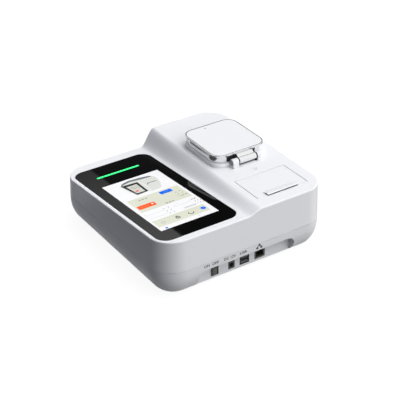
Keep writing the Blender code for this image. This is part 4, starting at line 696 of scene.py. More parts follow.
def make_lower_shell():
    """The lower shell: hollow, with a lip, the port recess, port holes, foot seats and screw posts."""
    shell = loft("lower_shell_skin", body_rings(0, PARTING_HEIGHT))
    lip = [(WALL / 2 + LIP_GAP, PARTING_HEIGHT + side * LIP_HEIGHT) for side in (-1, 1)]
    unite(shell, plate("lip", (0, 0), (HALF_X, HALF_Y), CORNER_RADIUS, lip))
    hollow = loft("lower_hollow", body_rings(WALL, HIGH_DECK_HEIGHT))
    cut(hollow, recess_tool("lining", RECESS_WALL))
    cut(shell, hollow, recess_tool("recess"))
    for node, margin in (("usb_socket", -PORT_GAP), ("lan_socket", -PORT_GAP), ("dc_jack", -PORT_GAP),
                         ("switch_housing", SWITCH_HOLE_MARGIN)):
        low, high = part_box(node)
        near = (low[0] + margin, PLATE_Y - OVERRUN, low[2] + margin)
        far = (high[0] - margin, PLATE_Y + RECESS_WALL + OVERRUN, high[2] - margin)
        cut(shell, block("hole", near, far))
    for i in range(4):
        place, radius, _, top = upright(f"foot_{i}")
        seat = ((-OVERRUN, radius + SEAT_GAP), (top + SEAT_GAP, radius + SEAT_GAP))
        cut(shell, turned("foot_seat", "Z", seat, place, BORE_SIDES))
    for i in range(4):
        place, radius, _, _ = upright(f"case_screw_{i}")
        radius += SEAT_GAP
        post = radius + SCREW_POST_WALL
        levels = ((FOOT_STANDOFF + WALL / 2, post), (PARTING_HEIGHT - SEAT_GAP, post))
        unite(shell, turned("post", "Z", levels, place, BORE_SIDES))
        levels = ((-OVERRUN, radius), (PARTING_HEIGHT - SCREW_WELL_ROOF, radius))
        cut(shell, turned("well", "Z", levels, place, BORE_SIDES))
    return shell


piece(make_upper_shell(), "case", "upper_case", "upper_shell")
piece(make_lower_shell(), "case", "lower_case", "lower_shell")

# Touch panel
glass_levels = rounded_profile(-GLASS_THICKNESS, 0, *GLASS_EDGES, SHORT_STEPS)
glass = plate("touch_glass", GLASS_CENTRE, GLASS_HALF, GLASS_CORNER, glass_levels, matrix=LOW_DECK_FRAME)
piece(glass, "case", "black_glass", "front_glass")

# What the touch panel shows, in shares of the lit area: across from the left, along from the near end
LIT_LOW = (-0.1062, -0.0930)
LIT_SIZE = (0.0860, 0.1480)
TILE_THICKNESS = 0.00008
TILE_GLOW = 0.12
TILE_ROUGHNESS = 0.16
TILE_GLOSS = 0.3
SCREEN_WHITE = (0.90, 0.90, 0.90)
SCREEN_BEIGE = (0.72, 0.73, 0.60)
SCREEN_BLUE = (0.004, 0.15, 0.86)
SCREEN_ORANGE = (0.95, 0.10, 0.008)
SCREEN_GREY = (0.27, 0.28, 0.27)
SCREEN_DARK = (0.035, 0.037, 0.036)
SCREEN_SLATE = (0.16, 0.19, 0.21)
SCREEN_PALE = (0.50, 0.50, 0.46)
SCREEN_SKY = (0.10, 0.36, 0.90)
SCREEN_PEACH = (0.95, 0.34, 0.14)
SCREEN_RULE = (0.66, 0.66, 0.66)
BODY_GREY = (0.72, 0.73, 0.68)
INNER_GREY = (0.66, 0.66, 0.60)
DASH_SHARES = (0.12, 0.84)
DASH_GROUP = 4
DOT_SIDES = 10
# Start and sweep of the open oval in degrees, and its steps
RETURN_ARC = (130, 240, 12)
tile_looks = []


def lit_place(across, along):
    return LIT_LOW[0] + LIT_SIZE[0] * across, LIT_LOW[1] + LIT_SIZE[1] * along


def lit_places(shares):
    return [lit_place(*share) for share in shares]


def tile(name, outlines, colour, layer):
    """Thin flush shapes of one colour on the panel, one above the layer below it."""
    if colour not in tile_looks:
        name_of_look = f"display_colour_{len(tile_looks)}"
        materials[colour] = lit_material(name_of_look, colour, TILE_GLOW, TILE_ROUGHNESS, TILE_GLOSS)
        tile_looks.append(colour)
    levels = (layer * TILE_THICKNESS, (layer + 1) * TILE_THICKNESS)
    piece(flat_shapes(name, outlines, levels, LOW_DECK_FRAME), "case", "screen", look=colour)


def bars(corners, round_share=0.0):
    """Rectangles, or rounded ones, each given by two corners."""
    made = []
    for low, high in [lit_places(pair) for pair in corners]:
        half = half_size(low, high)
        if round_share:
            made.append(outline(*half, min(half) * round_share, SHORT_STEPS, middle(low, high)))
        else:
            made.append(rectangle(low, high))
    return made


def area(points):
    return [lit_places(points)]


def ring_strip(points, width):
    """A closed outline drawn as a line of the given width, as a row of quads."""
    centre = Vector([sum(axis) / len(points) for axis in zip(*points)])
    inner = []
    for point in points:
        away = Vector(point) - centre
        inner.append(tuple(centre + away * (1 - width / max(away.length, width))))
    after = points[1:] + points[:1]
    inner_after = inner[1:] + inner[:1]
    return [list(quad) for quad in zip(points, after, inner_after, inner)]


def stroke(points, width):
    """An open line drawn with flat quads."""
    quads = []
    for start, end in zip(points, points[1:]):
        along = Vector(end) - Vector(start)
        side = Vector((-along.y, along.x)).normalized() * width / 2
        corners = ((start, -side), (end, -side), (end, side), (start, side))
        quads.append([tuple(Vector(point) + shift) for point, shift in corners])
    return quads


def drawn_line(points, width):
    return stroke(lit_places(points), width)


def dots(places, radius, sides):
    return [circle(radius, sides, place) for place in lit_places(places)]


def circle_line(place, radius, sides, width):
    return ring_strip(circle(radius, sides, lit_place(*place)), width)


def dash_rows(rows):
    """Rows of short marks that stand for lines of small text; every fourth mark is a gap.
    A row has a start, an end, its place along the panel, its height and its number of marks and gaps."""
    made = []
    for start, end, along, height, count in rows:
        width = (end - start) / count
        for i in range(count):
            if i % DASH_GROUP < DASH_GROUP - 1:
                left, right = [start + width * (i + share) for share in DASH_SHARES]
                made += bars([((left, along - height / 2), (right, along + height / 2))])
    return made


def case_icon(places, sizes, widths, dot_radius):
    """A small case: two rounded outlines, the lower one with a dot."""
    made = []
    for place, size, width in zip(places, sizes, widths):
        made += ring_strip(outline(*size, LEAST_STEPS, lit_place(*place)), width)
    return made + dots(places[:1], dot_radius, DOT_SIDES)


def return_icon(place, radii, width):
    """An open oval, drawn as a line."""
    x, y = lit_place(*place)
    return stroke([(x + a * radii[0], y + b * radii[1]) for a, b in arc((0, 0), 1, *RETURN_ARC)], width)


# Each tile: name, colour, layer, the function that makes its shapes, and what that function takes
DISPLAY = (
    ("display_ground", SCREEN_WHITE, 0, bars, [((0, 0), (1, 1))]),
    ("display_bands", SCREEN_BEIGE, 1, bars,
     [((0.065, 0.372), (0.955, 0.628)), ((0.035, 0.060), (0.925, 0.186))]),
    ("picture_body", BODY_GREY, 1, area,
     [(0.235, 0.905), (0.300, 0.947), (0.431, 0.966), (0.622, 0.958), (0.790, 0.935), (0.845, 0.895),
      (0.838, 0.830), (0.804, 0.762), (0.735, 0.678), (0.560, 0.668), (0.515, 0.690), (0.300, 0.672),
      (0.270, 0.760)]),
    ("picture_shade", SCREEN_SLATE, 2, area,
     [(0.232, 0.902), (0.300, 0.949), (0.431, 0.969), (0.622, 0.960), (0.780, 0.940), (0.800, 0.915),
      (0.622, 0.925), (0.431, 0.940), (0.320, 0.925)]),
    ("picture_panel", SCREEN_DARK, 3, area, [(0.246, 0.908), (0.525, 0.897), (0.508, 0.688), (0.308, 0.684)]),
    ("picture_screen", INNER_GREY, 4, area, [(0.300, 0.868), (0.480, 0.866), (0.472, 0.706), (0.330, 0.710)]),
    ("picture_button", SCREEN_ORANGE, 5, bars, [((0.345, 0.735), (0.395, 0.757))]),
    ("picture_rows", SCREEN_GREY, 5, dash_rows, [(0.36, 0.46, 0.80, 0.012, 5), (0.34, 0.46, 0.83, 0.010, 6)]),
    ("picture_door", SCREEN_DARK, 3, drawn_line, [(0.612, 0.800), (0.640, 0.822), (0.788, 0.818)], 0.0011),
    ("picture_seam", SCREEN_WHITE, 3, drawn_line, [(0.552, 0.905), (0.572, 0.790), (0.560, 0.690)], 0.0009),
    ("button_blue", SCREEN_BLUE, 2, bars, [((0.602, 0.556), (0.812, 0.609))], 0.35),
    ("button_blue_text", SCREEN_SKY, 3, dash_rows, [(0.670, 0.745, 0.582, 0.008, 7)]),
    ("button_orange", SCREEN_ORANGE, 2, bars, [((0.087, 0.426), (0.385, 0.490))], 0.2),
    ("button_orange_text", SCREEN_PEACH, 3, dash_rows, [(0.135, 0.295, 0.456, 0.008, 12)]),
    ("button_orange_dot", SCREEN_WHITE, 3, dots, [(0.340, 0.463)], 0.0016, 14),
    ("text_rows", SCREEN_GREY, 2, dash_rows,
     [(0.219, 0.377, 0.581, 0.016, 11), (0.501, 0.650, 0.394, 0.016, 10), (0.865, 0.960, 0.318, 0.012, 8),
      (0.830, 0.930, 0.434, 0.012, 7)]),
    ("text_dots", SCREEN_GREY, 2, dots,
     [(0.815, 0.515), (0.887, 0.518), (0.813, 0.473), (0.898, 0.480), (0.808, 0.434), (0.388, 0.319),
      (0.468, 0.320), (0.391, 0.269), (0.467, 0.271), (0.395, 0.220), (0.464, 0.218), (0.893, 0.271),
      (0.940, 0.272), (0.983, 0.269), (0.886, 0.226), (0.938, 0.228), (0.985, 0.227)], 0.00085, DOT_SIDES),
    ("pale_dots", SCREEN_PALE, 2, dots,
     [(0.572, 0.321), (0.640, 0.332), (0.060, 0.319), (0.450, 0.030), (0.690, 0.031), (0.886, 0.034)],
     0.0006, DOT_SIDES),
    ("list_rows", SCREEN_RULE, 2, bars,
     [((0.056, 0.292), (0.370, 0.296)), ((0.056, 0.226), (0.370, 0.230)), ((0.520, 0.292), (0.850, 0.296)),
      ((0.640, 0.208), (0.850, 0.232))]),
    ("icon_settings", SCREEN_PALE, 2, circle_line, (0.158, 0.117), 0.0033, 16, 0.0010),
    ("icon_case", SCREEN_DARK, 2, case_icon, [(0.413, 0.114), (0.413, 0.140)],
     [(0.0030, 0.0024, 0.0008), (0.0014, 0.0012, 0.0006)], (0.0012, 0.0006), 0.0009),
    ("icon_return", SCREEN_DARK, 2, return_icon, (0.643, 0.118), (0.0036, 0.0030), 0.0011),
    ("icon_active", SCREEN_BLUE, 2, dots, [(0.864, 0.123)], 0.0036, 16),
    ("icon_active_mark", SCREEN_SKY, 3, drawn_line, [(0.846, 0.124), (0.862, 0.114), (0.884, 0.136)], 0.0007),
    ("page_dot", SCREEN_BLUE, 2, dots, [(0.114, 0.020)], 0.0018, 12),
)
for tile_name, colour, layer, shaper, *data in DISPLAY:
    tile(tile_name, shaper(*data), colour, layer)

LED_CENTRE = (-0.0656, 0.0824)
LED_HALF = (0.0327, 0.0017)
LED_LEVELS = ((0, -0.0001), (0, 0.00012), (0.0003, 0.00022), (0.0008, 0.00026))
led = plate("light_lens", LED_CENTRE, LED_HALF, LED_HALF[1], LED_LEVELS, SMALL_STEPS, LOW_DECK_FRAME)
piece(led, "case", "light_guide")

# Lid: a white plate held in a polished rim, over a polished band
RIM_WIDTH = 0.0017
RIM_LEAN = 0.00030
RIM_EDGES = (0.0003, 0.0009)
PLATE_GAP = 0.00015
PLATE_EDGES = (0.0003, 0.0004)
BAND_LEAN = 0.00020
BAND_INSET = 0.0020
BAND_WALL = 0.0030
BAND_CORNER = 0.0185
# Levels of the band's rounded foot, over its lower edge
BAND_FOOT = ((0.0006, 0), (0.0001, 0.0004), (0, 0.0010))
RING_RABBET = 0.0012
RING_EDGES = (0.0001, 0.0009)
RING_MOUTH_EDGE = 0.0008
FLANGE_HEIGHT = 0.0015
WELL_HALF = (0.0333, 0.0363)
WELL_CORNER = 0.0060
DIMPLE_PLACE = (0.0601, 0.0578)
DIMPLE_RADIUS = 0.0018
DIMPLE_DEPTH = 0.0003
DIMPLE_FOOT_SHARE = 0.8
MARK_SHARES = (0.7, 0.9, 0.8)
MARK_DROP = 0.00004
LINER_INSET = 0.0053
LINER_EDGES = (0.0006, 0.0003)
GROOVE_INSET = 0.0060
GROOVE_WIDTH = 0.0022
GROOVE_DEPTH = 0.0008
COVER_LOW = lid_low[2]
COVER_HIGH = lid_high[2]


def hollowed(target, half, corner, wall, low, high):
    """Takes out the inside of a plate round the lid's middle, within a wall."""
    cut(target, plate("inside", LID_CENTRE, half, corner, [(wall, low - OVERRUN), (wall, high + OVERRUN)]))
    return target


def make_rim():
    """The polished rim round the lid plate: its outer face leans in a little towards its foot."""
    height = COVER_HIGH - COVER_LOW
    outer = [(inset + RIM_LEAN * (COVER_HIGH - z) / height, z)
             for inset, z in rounded_profile(COVER_LOW, COVER_HIGH, *RIM_EDGES, SHORT_STEPS)]
    rim = plate("lid_rim", LID_CENTRE, LID_HALF, LID_CORNER, outer)
    return hollowed(rim, LID_HALF, LID_CORNER, RIM_WIDTH, COVER_LOW, COVER_HIGH)


def make_lid_plate():
    """The white plate in the rim, with a shallow dimple."""
    inset = RIM_WIDTH + PLATE_GAP
    levels = rounded_profile(COVER_LOW, COVER_HIGH, *PLATE_EDGES, SHORT_STEPS)
    half = [size - inset for size in LID_HALF]
    cover = plate("lid_plate", LID_CENTRE, half, LID_CORNER - inset, levels)
    foot = (COVER_HIGH - DIMPLE_DEPTH, DIMPLE_RADIUS * DIMPLE_FOOT_SHARE)
    dimple = (foot, (COVER_HIGH + DIMPLE_DEPTH, DIMPLE_RADIUS))
    cut(cover, turned("dimple", "Z", dimple, DIMPLE_PLACE, PIN_SIDES))
    return cover


def make_mark():
    """The faint mark that fills the dimple."""
    drops = (DIMPLE_DEPTH, 2 * MARK_DROP, MARK_DROP)
    levels = [(COVER_HIGH - drop, DIMPLE_RADIUS * share) for drop, share in zip(drops, MARK_SHARES)]
    return turned("lid_mark", "Z", levels, DIMPLE_PLACE, PIN_SIDES)


band_low, band_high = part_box("lid_band")


def make_band():
    """The polished band under the rim, with a rounded foot."""
    half = [size - BAND_INSET for size in LID_HALF]
    levels = [(BAND_LEAN + inset, band_low[2] + rise) for inset, rise in BAND_FOOT] + [(0, band_high[2])]
    band = plate("lid_band_polished", LID_CENTRE, half, BAND_CORNER, levels, 2 * CORNER_STEPS)
    return hollowed(band, half, BAND_CORNER, BAND_WALL, band_low[2], band_high[2])


def make_base_ring():
    """The ring round the chamber mouth, which the lid closes on."""
    low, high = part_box("lid_base_ring")
    levels = rounded_profile(low[2], high[2], *RING_EDGES, RING_STEPS)
    ring = plate("base_ring", LID_CENTRE, LID_HALF, LID_CORNER, levels)
    mouth = flared(low[2] - OVERRUN, high[2], RING_MOUTH_EDGE)
    cut(ring, plate("ring_mouth", LID_CENTRE, WELL_HALF, WELL_CORNER, mouth, SMALL_STEPS))
    rabbet = [(RING_RABBET, low[2] - OVERRUN), (RING_RABBET, low[2] + FLANGE_HEIGHT)]
    cut(ring, plate("ring_rabbet", LID_CENTRE, LID_HALF, LID_CORNER, rabbet))
    return ring


def make_liner():
    """The dark pad inside the lid, with a groove round its edge."""
    low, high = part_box("lid_liner")
    half = half_size(low, high)
    corner = LID_CORNER - LINER_INSET
    levels = rounded_profile(low[2], high[2], *LINER_EDGES, FEW_STEPS)
    liner = plate("lid_liner_pad", LID_CENTRE, half, corner, levels)
    levels = [(GROOVE_INSET, low[2] - OVERRUN), (GROOVE_INSET, low[2] + GROOVE_DEPTH)]
    groove = plate("groove", LID_CENTRE, half, corner, levels)
    hollowed(groove, half, corner, GROOVE_INSET + GROOVE_WIDTH, low[2] - OVERRUN, low[2])
    cut(liner, groove)
    return liner


piece(make_lid_plate(), "lid", "upper_case", "lid_cover")
piece(make_mark(), "lid", "upper_case", look="faint_print")
piece(make_rim(), "lid", "chrome_trim")
piece(make_band(), "lid", "chrome_trim", "lid_band")
piece(make_base_ring(), "case", "upper_case", "lid_base_ring")
piece(make_liner(), "lid", "dark_plastic", "lid_liner")

# Lid hinge
base_low, base_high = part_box("lid_hinge_base")
leaf_low, leaf_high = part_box("lid_hinge_leaf")
hinge_pin_low, hinge_pin_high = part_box("lid_hinge_pin")
_, HINGE_Y, HINGE_Z = middle(hinge_pin_low, hinge_pin_high)
HINGE_PLACE = (HINGE_Y, HINGE_Z)
HINGE_BORE = 0.0018
KNUCKLE_RADIUS = 0.0048
BARREL_RADIUS = 0.0046
LEFT_KNUCKLE_LENGTH = 0.0092
RIGHT_KNUCKLE_LENGTH = 0.0057
HINGE_PLATE_THICKNESS = 0.0015
HINGE_EDGE = 0.0004
# The dark pad on the band behind the hinge is painted shade
SHADE_PAD_SIDES = (0.0444, 0.0895)
SHADE_PAD_PROUD = 0.0003
SHADE_PAD_CORNER = 0.0006
SHADE_PAD_RISE = 0.0010
SHADE_PAD_DROP = 0.0004
# The dark washers at the barrel's ends are painted shade for the gaps between knuckles and barrel
SHADE_WASHER_GAP = 0.0001
SHADE_WASHER_WIDTH = 0.0015
CAP_RADIUS = 0.0041
CAP_THICKNESS = 0.0003
LEAF_INSET = 0.0006
LEAF_FOOT_DROP = 0.0004
LEAF_LIP = 0.0006
# Corners between the leaf's flats: run from the hinge axis, drop from the barrel's top
LEAF_FLATS = ((0.0018, 0.0004), (-0.0016, 0.0002))
# The leaf's back corner, from the hinge axis
LEAF_BACK = (-0.0040, 0.0026)
KNUCKLE_SPANS = (
    (base_low[0], base_low[0] + LEFT_KNUCKLE_LENGTH),
    (base_high[0] - RIGHT_KNUCKLE_LENGTH, base_high[0]),
)
SHADE_WASHER_SPANS = (
    (KNUCKLE_SPANS[0][1] + SHADE_WASHER_GAP, leaf_low[0] + SHADE_WASHER_WIDTH),
    (leaf_high[0] - SHADE_WASHER_WIDTH, KNUCKLE_SPANS[1][0] - SHADE_WASHER_GAP),
)


def make_hinge_plate():
    """The polished plate under the barrel, between the knuckles."""
    low = (KNUCKLE_SPANS[0][1] + SEAT_GAP, base_low[1], base_low[2])
    high = (KNUCKLE_SPANS[1][0] - SEAT_GAP, base_high[1], base_low[2] + HINGE_PLATE_THICKNESS)
    return soften(block("hinge_plate", low, high), FINE_EDGE)


def make_knuckles():
    """Two knuckles that stand on feet."""
    foot_top = base_low[2] + HINGE_PLATE_THICKNESS
    base, other = [block("hinge_knuckles", (start, *base_low[1:]), (end, base_high[1], foot_top))
                   for start, end in KNUCKLE_SPANS]
    unite(base, other)
    foot_z = base_low[2] + HINGE_PLATE_THICKNESS / 2
    points = [(HINGE_Y + KNUCKLE_RADIUS, foot_z)]
    points += arc(HINGE_PLACE, KNUCKLE_RADIUS, 0, 180, ROLL_STEPS)
    points.append((HINGE_Y - KNUCKLE_RADIUS, foot_z))
    for start, end in KNUCKLE_SPANS:
        unite(base, prism("knuckle", points, start, end, "X", HINGE_EDGE))
    bore(base, (hinge_pin_low[0], hinge_pin_high[0]), HINGE_BORE, HINGE_PLACE, SEAT_GAP)
    return soften(base, FINE_EDGE)


def make_hinge_leaf():
    """A barrel with a plate that runs up to the lid band and breaks into two flats."""
    start, end = SHADE_WASHER_SPANS[0][1] + SHADE_WASHER_GAP, SHADE_WASHER_SPANS[1][0] - SHADE_WASHER_GAP
    levels = barrel_levels(start, end, BARREL_RADIUS, SMALL_EDGE)
    leaf = turned("hinge_leaf", "X", levels, HINGE_PLACE, FINE_SIDES)
    face = leaf_high[1]
    top = HINGE_Z + BARREL_RADIUS
    band_bottom, band_top = band_low[2] + SEAT_GAP, band_high[2] - SEAT_GAP
    outer = [(HINGE_Y, HINGE_Z - LEAF_FOOT_DROP), (face, band_bottom), (face, band_top)]
    outer.append((face - LEAF_LIP, band_top))
    outer += [(HINGE_Y + run, top - drop) for run, drop in LEAF_FLATS]
    outer.append((HINGE_Y + LEAF_BACK[0], HINGE_Z + LEAF_BACK[1]))
    unite(leaf, prism("leaf_plate", outer, start + LEAF_INSET, end - LEAF_INSET, "X", SMALL_EDGE))
    bore(leaf, (start, end), HINGE_BORE, HINGE_PLACE)
    return leaf


def make_hinge_shade_pad():
    """A dark pad on the band behind the hinge: painted shade for the band where it lies in shade behind the
    barrel.
    """
    low = (SHADE_PAD_SIDES[0], band_low[1] - SHADE_PAD_PROUD, band_low[2] + SHADE_PAD_RISE)
    high = (SHADE_PAD_SIDES[1], band_low[1] + BAND_LEAN + SHADE_PAD_PROUD, band_high[2] - SHADE_PAD_DROP)
    return faced_plate("hinge_shade_pad", low, high, SHADE_PAD_CORNER, HAIR_EDGE, HAIR_EDGE, LEAST_STEPS)


def make_shade_washer(name, start, end):
    """A thin dark washer between a knuckle and the barrel: painted shade for the gap there."""
    slim = BARREL_RADIUS - FINE_EDGE
    rims = [(x, BARREL_RADIUS) for x in (start + SHADE_WASHER_GAP, end - SHADE_WASHER_GAP)]
    shade_washer = turned(name, "X", [(start, slim), *rims, (end, slim)], HINGE_PLACE)
    bore(shade_washer, (start, end), HINGE_BORE, HINGE_PLACE)
    return shade_washer


def make_hinge_end_shade_cap():
    """The cap over the pin's left end, in slate: painted shade for the knuckle's end face, which faces away
    from the light.
    """
    start = base_low[0] - CAP_THICKNESS
    levels = ((start, CAP_RADIUS - HAIR_EDGE), (start + HAIR_EDGE, CAP_RADIUS), (base_low[0], CAP_RADIUS))
    return turned("hinge_end_shade_cap", "X", levels, HINGE_PLACE, PLAIN_SIDES)


# Painted shade: a dark pad on the band behind the barrel
piece(make_hinge_shade_pad(), "lid", "black_plastic")
# Painted shade: dark washers in the gaps at both ends of the barrel
for shade_washer_index, shade_washer_span in enumerate(SHADE_WASHER_SPANS):
    piece(make_shade_washer(f"hinge_shade_washer_{shade_washer_index}", *shade_washer_span), "lid", "black_plastic")
piece(make_hinge_plate(), "case", "hinge_metal", "lid_hinge_base")
piece(make_knuckles(), "case", "upper_case", "lid_hinge_base", look="lower_case")
# Painted shade: a slate cap on the knuckle's left end face
piece(make_hinge_end_shade_cap(), "case", "dark_plastic", look="cap_plastic")
piece(make_hinge_leaf(), "lid", "hinge_metal", "lid_hinge_leaf")

# Printer door
DOOR_ROLL = 0.0020
DOOR_SIDE_RELIEF = 0.0006
HOOD_LEFT_X = 0.0438
HOOD_RIGHT_X = 0.0935
HOOD_RUN = 0.0098
HOOD_RISE = 0.0026
HOOD_OVERHANG = 0.0009
HOOD_WALL = 0.0006
HOOD_NOSE = 0.0009
HOOD_FLOAT = 0.0012
HOOD_STEPS = 8
HOOD_CURVE = 0.75
HOOD_LEAN_SHARE = 0.25
ARM_STEPS = 16
BRACKET_RADIUS = 0.0035
BRACKET_INNER = 0.0243
BRACKET_THICKNESS = 0.0020
SHAFT_ROOM = 0.0023
PIN_ROOM = 0.0011
_, PLATEN_Y, PLATEN_Z = middle(*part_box("platen_shaft"))
DOOR_HINGE_Y = DOOR_FAR_Y - DOOR_ROLL
DOOR_HINGE_Z = HIGH_DECK_HEIGHT - DOOR_ROLL


def hood_points():
    """The cross-section of the lip over the paper slot: a rising sheet with a round nose."""
    deck = HIGH_DECK_HEIGHT
    root = DOOR_NEAR_Y + HOOD_RUN
    front = DOOR_NEAR_Y - HOOD_OVERHANG
    outer = []
    for i in range(HOOD_STEPS + 1):
        share = i / HOOD_STEPS
        rise = HOOD_RISE * share * (1 + HOOD_CURVE - HOOD_CURVE * share)
        outer.append((root - (root - front - HOOD_NOSE) * share, deck + rise))
    outer += [(front + HOOD_NOSE * s, deck + HOOD_RISE - HOOD_NOSE * c) for s, c in quarter(HOOD_STEPS)[1:]]
    outer.append((front, deck + HOOD_FLOAT))
    inner = [(front + HOOD_WALL, deck + HOOD_FLOAT), (front + HOOD_WALL, deck + HOOD_RISE - HOOD_NOSE)]
    inner += [(y + HOOD_WALL * HOOD_LEAN_SHARE, z - HOOD_WALL) for y, z in reversed(outer[:HOOD_STEPS])]
    return outer + inner


def make_door():
    """The door plate with its rolled far edge, a paper slot under a raised lip, and two arms."""
    underside = HIGH_DECK_HEIGHT - DOOR_THICKNESS
    points = [(DOOR_NEAR_Y, underside), (DOOR_NEAR_Y, HIGH_DECK_HEIGHT - FINE_EDGE),
              (DOOR_NEAR_Y + FINE_EDGE, HIGH_DECK_HEIGHT)]
    edge_drop = math.degrees(math.asin((underside - DOOR_HINGE_Z) / DOOR_ROLL))
    points += arc((DOOR_HINGE_Y, DOOR_HINGE_Z), DOOR_ROLL, 90, -270 - edge_drop, ROLL_STEPS)
    left, right = DOOR_LEFT_X + DOOR_SIDE_RELIEF, DOOR_RIGHT_X - DOOR_SIDE_RELIEF
    door = prism("printer_door_panel", points, left, right, "X", MOULD_EDGE)
    slot_low = (HOOD_LEFT_X + HOOD_WALL, DOOR_NEAR_Y - OVERRUN, underside - OVERRUN)
    slot_high = (HOOD_RIGHT_X - HOOD_WALL, DOOR_NEAR_Y + HOOD_RUN - HOOD_WALL, HIGH_DECK_HEIGHT + OVERRUN)
    cut(door, block("paper_slot", slot_low, slot_high))
    unite(door, prism("hood", hood_points(), HOOD_LEFT_X, HOOD_RIGHT_X, "X", MOULD_EDGE))
    centre_x = (DOOR_LEFT_X + DOOR_RIGHT_X) / 2
    arm_top = underside + DOOR_THICKNESS / 2
    arm = [(PLATEN_Y + BRACKET_RADIUS, arm_top), (PLATEN_Y - BRACKET_RADIUS, arm_top)]
    arm += arc((PLATEN_Y, PLATEN_Z), BRACKET_RADIUS, 180, 180, ARM_STEPS)
    for side in (-1, 1):
        ends = sorted(centre_x + side * reach for reach in (BRACKET_INNER, BRACKET_INNER + BRACKET_THICKNESS))
        unite(door, prism("arm", arm, *ends, "X", FINE_EDGE))
    reach = BRACKET_INNER + BRACKET_THICKNESS
    bore(door, (centre_x - reach, centre_x + reach), SHAFT_ROOM, (PLATEN_Y, PLATEN_Z))
    bore(door, (DOOR_LEFT_X, DOOR_RIGHT_X), PIN_ROOM, (DOOR_HINGE_Y, DOOR_HINGE_Z), sides=PIN_SIDES)
    return door


piece(make_door(), "door", "upper_case", "printer_door")

# Port row
PORT_CORNER = 0.0006
LAN_CORNER = 0.0005
MOUTH_DEPTH = 0.0140
USB_RISE = 0.0038
USB_MOUTH_HALF = (0.0063, 0.0026)
# The tongue in a mouth, from the socket's middle, its face and the mouth's middle
TONGUE_LOW = (-0.0058, 0.0004, -0.0022)
TONGUE_HIGH = (0.0058, 0.0145, -0.0002)
USB_CONTACTS = (-0.0033, -0.0011, 0.0011, 0.0033)
USB_CONTACT_HALF = (0.0005, 0.0001)
USB_CONTACT_ENDS = (0.0018, 0.0105)
LAN_MOUTH_HALF = 0.0059
LAN_MOUTH_DROP = 0.0042
LAN_MOUTH_HEIGHT = 0.0084
LATCH_HALF = 0.0030
LATCH_LEVELS = (0.0080, 0.0104)
LAN_CONTACT_COUNT = 8
LAN_CONTACT_START = -0.00357
LAN_CONTACT_PITCH = 0.00102
LAN_CONTACT_HALF = 0.0002
LAN_CONTACT_THICKNESS = 0.0003
LAN_CONTACT_PATH = ((0.0020, 0.0004), (0.0050, 0.0012), (0.0120, 0.0046))
# Levels (depth, radius) of the power inlet's mouth and of its pin
DC_MOUTH = ((-0.0010, 0.0040), (0.0006, 0.0031), (0.0100, 0.0031))
DC_PIN = ((0.0035, 0.0004), (0.0037, 0.0008), (0.0042, 0.0010), (0.0105, 0.0010))
BEZEL_TRIM = (0.0008, 0.00065)
BEZEL_THICKNESS = 0.0010
BEZEL_EDGE = 0.0004
SWITCH_BODY_INSET = 0.0010
SWITCH_BODY_DEPTH = 0.0006
SWITCH_ROOM_INSET = 0.0017
SWITCH_ROOM_DEPTH = 0.0093
ROCKER_AXIS_DEPTH = 0.0008
ROCKER_AXIS_Y = PLATE_Y + ROCKER_AXIS_DEPTH
ROCKER_HALF = 0.0042
ROCKER_REST = math.radians(8.13)
ROCKER_STEPS = 12
ROCKER_BACK = 0.0015
ROCKER_FACE = 0.0020
ROCKER_CROWN = 0.0006
ROCKER_LIP = 0.0004
ROCKER_LIP_POWER = 6
ROCKER_EDGE = 0.00025


def mouth(centre_x, half, face, low_z, high_z):
    """A tool for a mouth that opens in a socket's face."""
    low = (centre_x - half, face - OVERRUN, low_z)
    return block("mouth", low, (centre_x + half, face + MOUTH_DEPTH, high_z))


def make_usb():
    """Two stacked mouths in a folded shell, each with its contact tongue."""
    low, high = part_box("usb_socket")
    socket = faced_plate("usb_shell", low, high, PORT_CORNER)
    centre_x, _, centre_z = middle(low, high)
    half_width, half_height = USB_MOUTH_HALF
    heights = (centre_z - USB_RISE, centre_z + USB_RISE)
    for z in heights:
        cut(socket, mouth(centre_x, half_width, low[1], z - half_height, z + half_height))
    piece(soften(socket, MOULD_EDGE), "case", "usb_metal", "usb_socket")
    for i, z in enumerate(heights):
        origin = Vector((centre_x, low[1], z))
        tongue = block(f"usb_tongue_{i}", origin + Vector(TONGUE_LOW), origin + Vector(TONGUE_HIGH))
        piece(soften(tongue, FINE_EDGE), "case", "black_plastic", look="tongue_plastic")
    half, rise = USB_CONTACT_HALF
    start, end = [low[1] + reach for reach in USB_CONTACT_ENDS]
    strips = [rectangle((centre_x + x - half, start), (centre_x + x + half, end)) for x in USB_CONTACTS]
    for i, z in enumerate(heights):
        top = z + TONGUE_HIGH[2]
        contacts = flat_shapes(f"usb_contacts_{i}", strips, (top - rise, top + rise))
        piece(contacts, "case", "steel", look="contact_gold")


def make_lan():
    """A network socket: a framed mouth with a latch step and eight spring contacts."""
    low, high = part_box("lan_socket")
    socket = faced_plate("lan_shell", low, high, LAN_CORNER)
    centre_x, _, centre_z = middle(low, high)
    foot = centre_z - LAN_MOUTH_DROP
    cut(socket, mouth(centre_x, LAN_MOUTH_HALF, low[1], foot, foot + LAN_MOUTH_HEIGHT))
    cut(socket, mouth(centre_x, LATCH_HALF, low[1], *[foot + level for level in LATCH_LEVELS]))
    piece(soften(socket, MOULD_EDGE), "case", "black_plastic", "lan_socket", look="port_plastic")
    bm = bmesh.new()
    for k in range(LAN_CONTACT_COUNT):
        x = centre_x + LAN_CONTACT_START + LAN_CONTACT_PITCH * k
        left, right = x - LAN_CONTACT_HALF, x + LAN_CONTACT_HALF
        rings = []
        for depth, rise in LAN_CONTACT_PATH:
            y, z, top = low[1] + depth, foot + rise, foot + rise + LAN_CONTACT_THICKNESS
            rings.append([(left, y, z), (right, y, z), (right, y, top), (left, y, top)])
        skin(bm, rings)
    piece(link("lan_contacts", bm), "case", "steel", look="contact_gold")


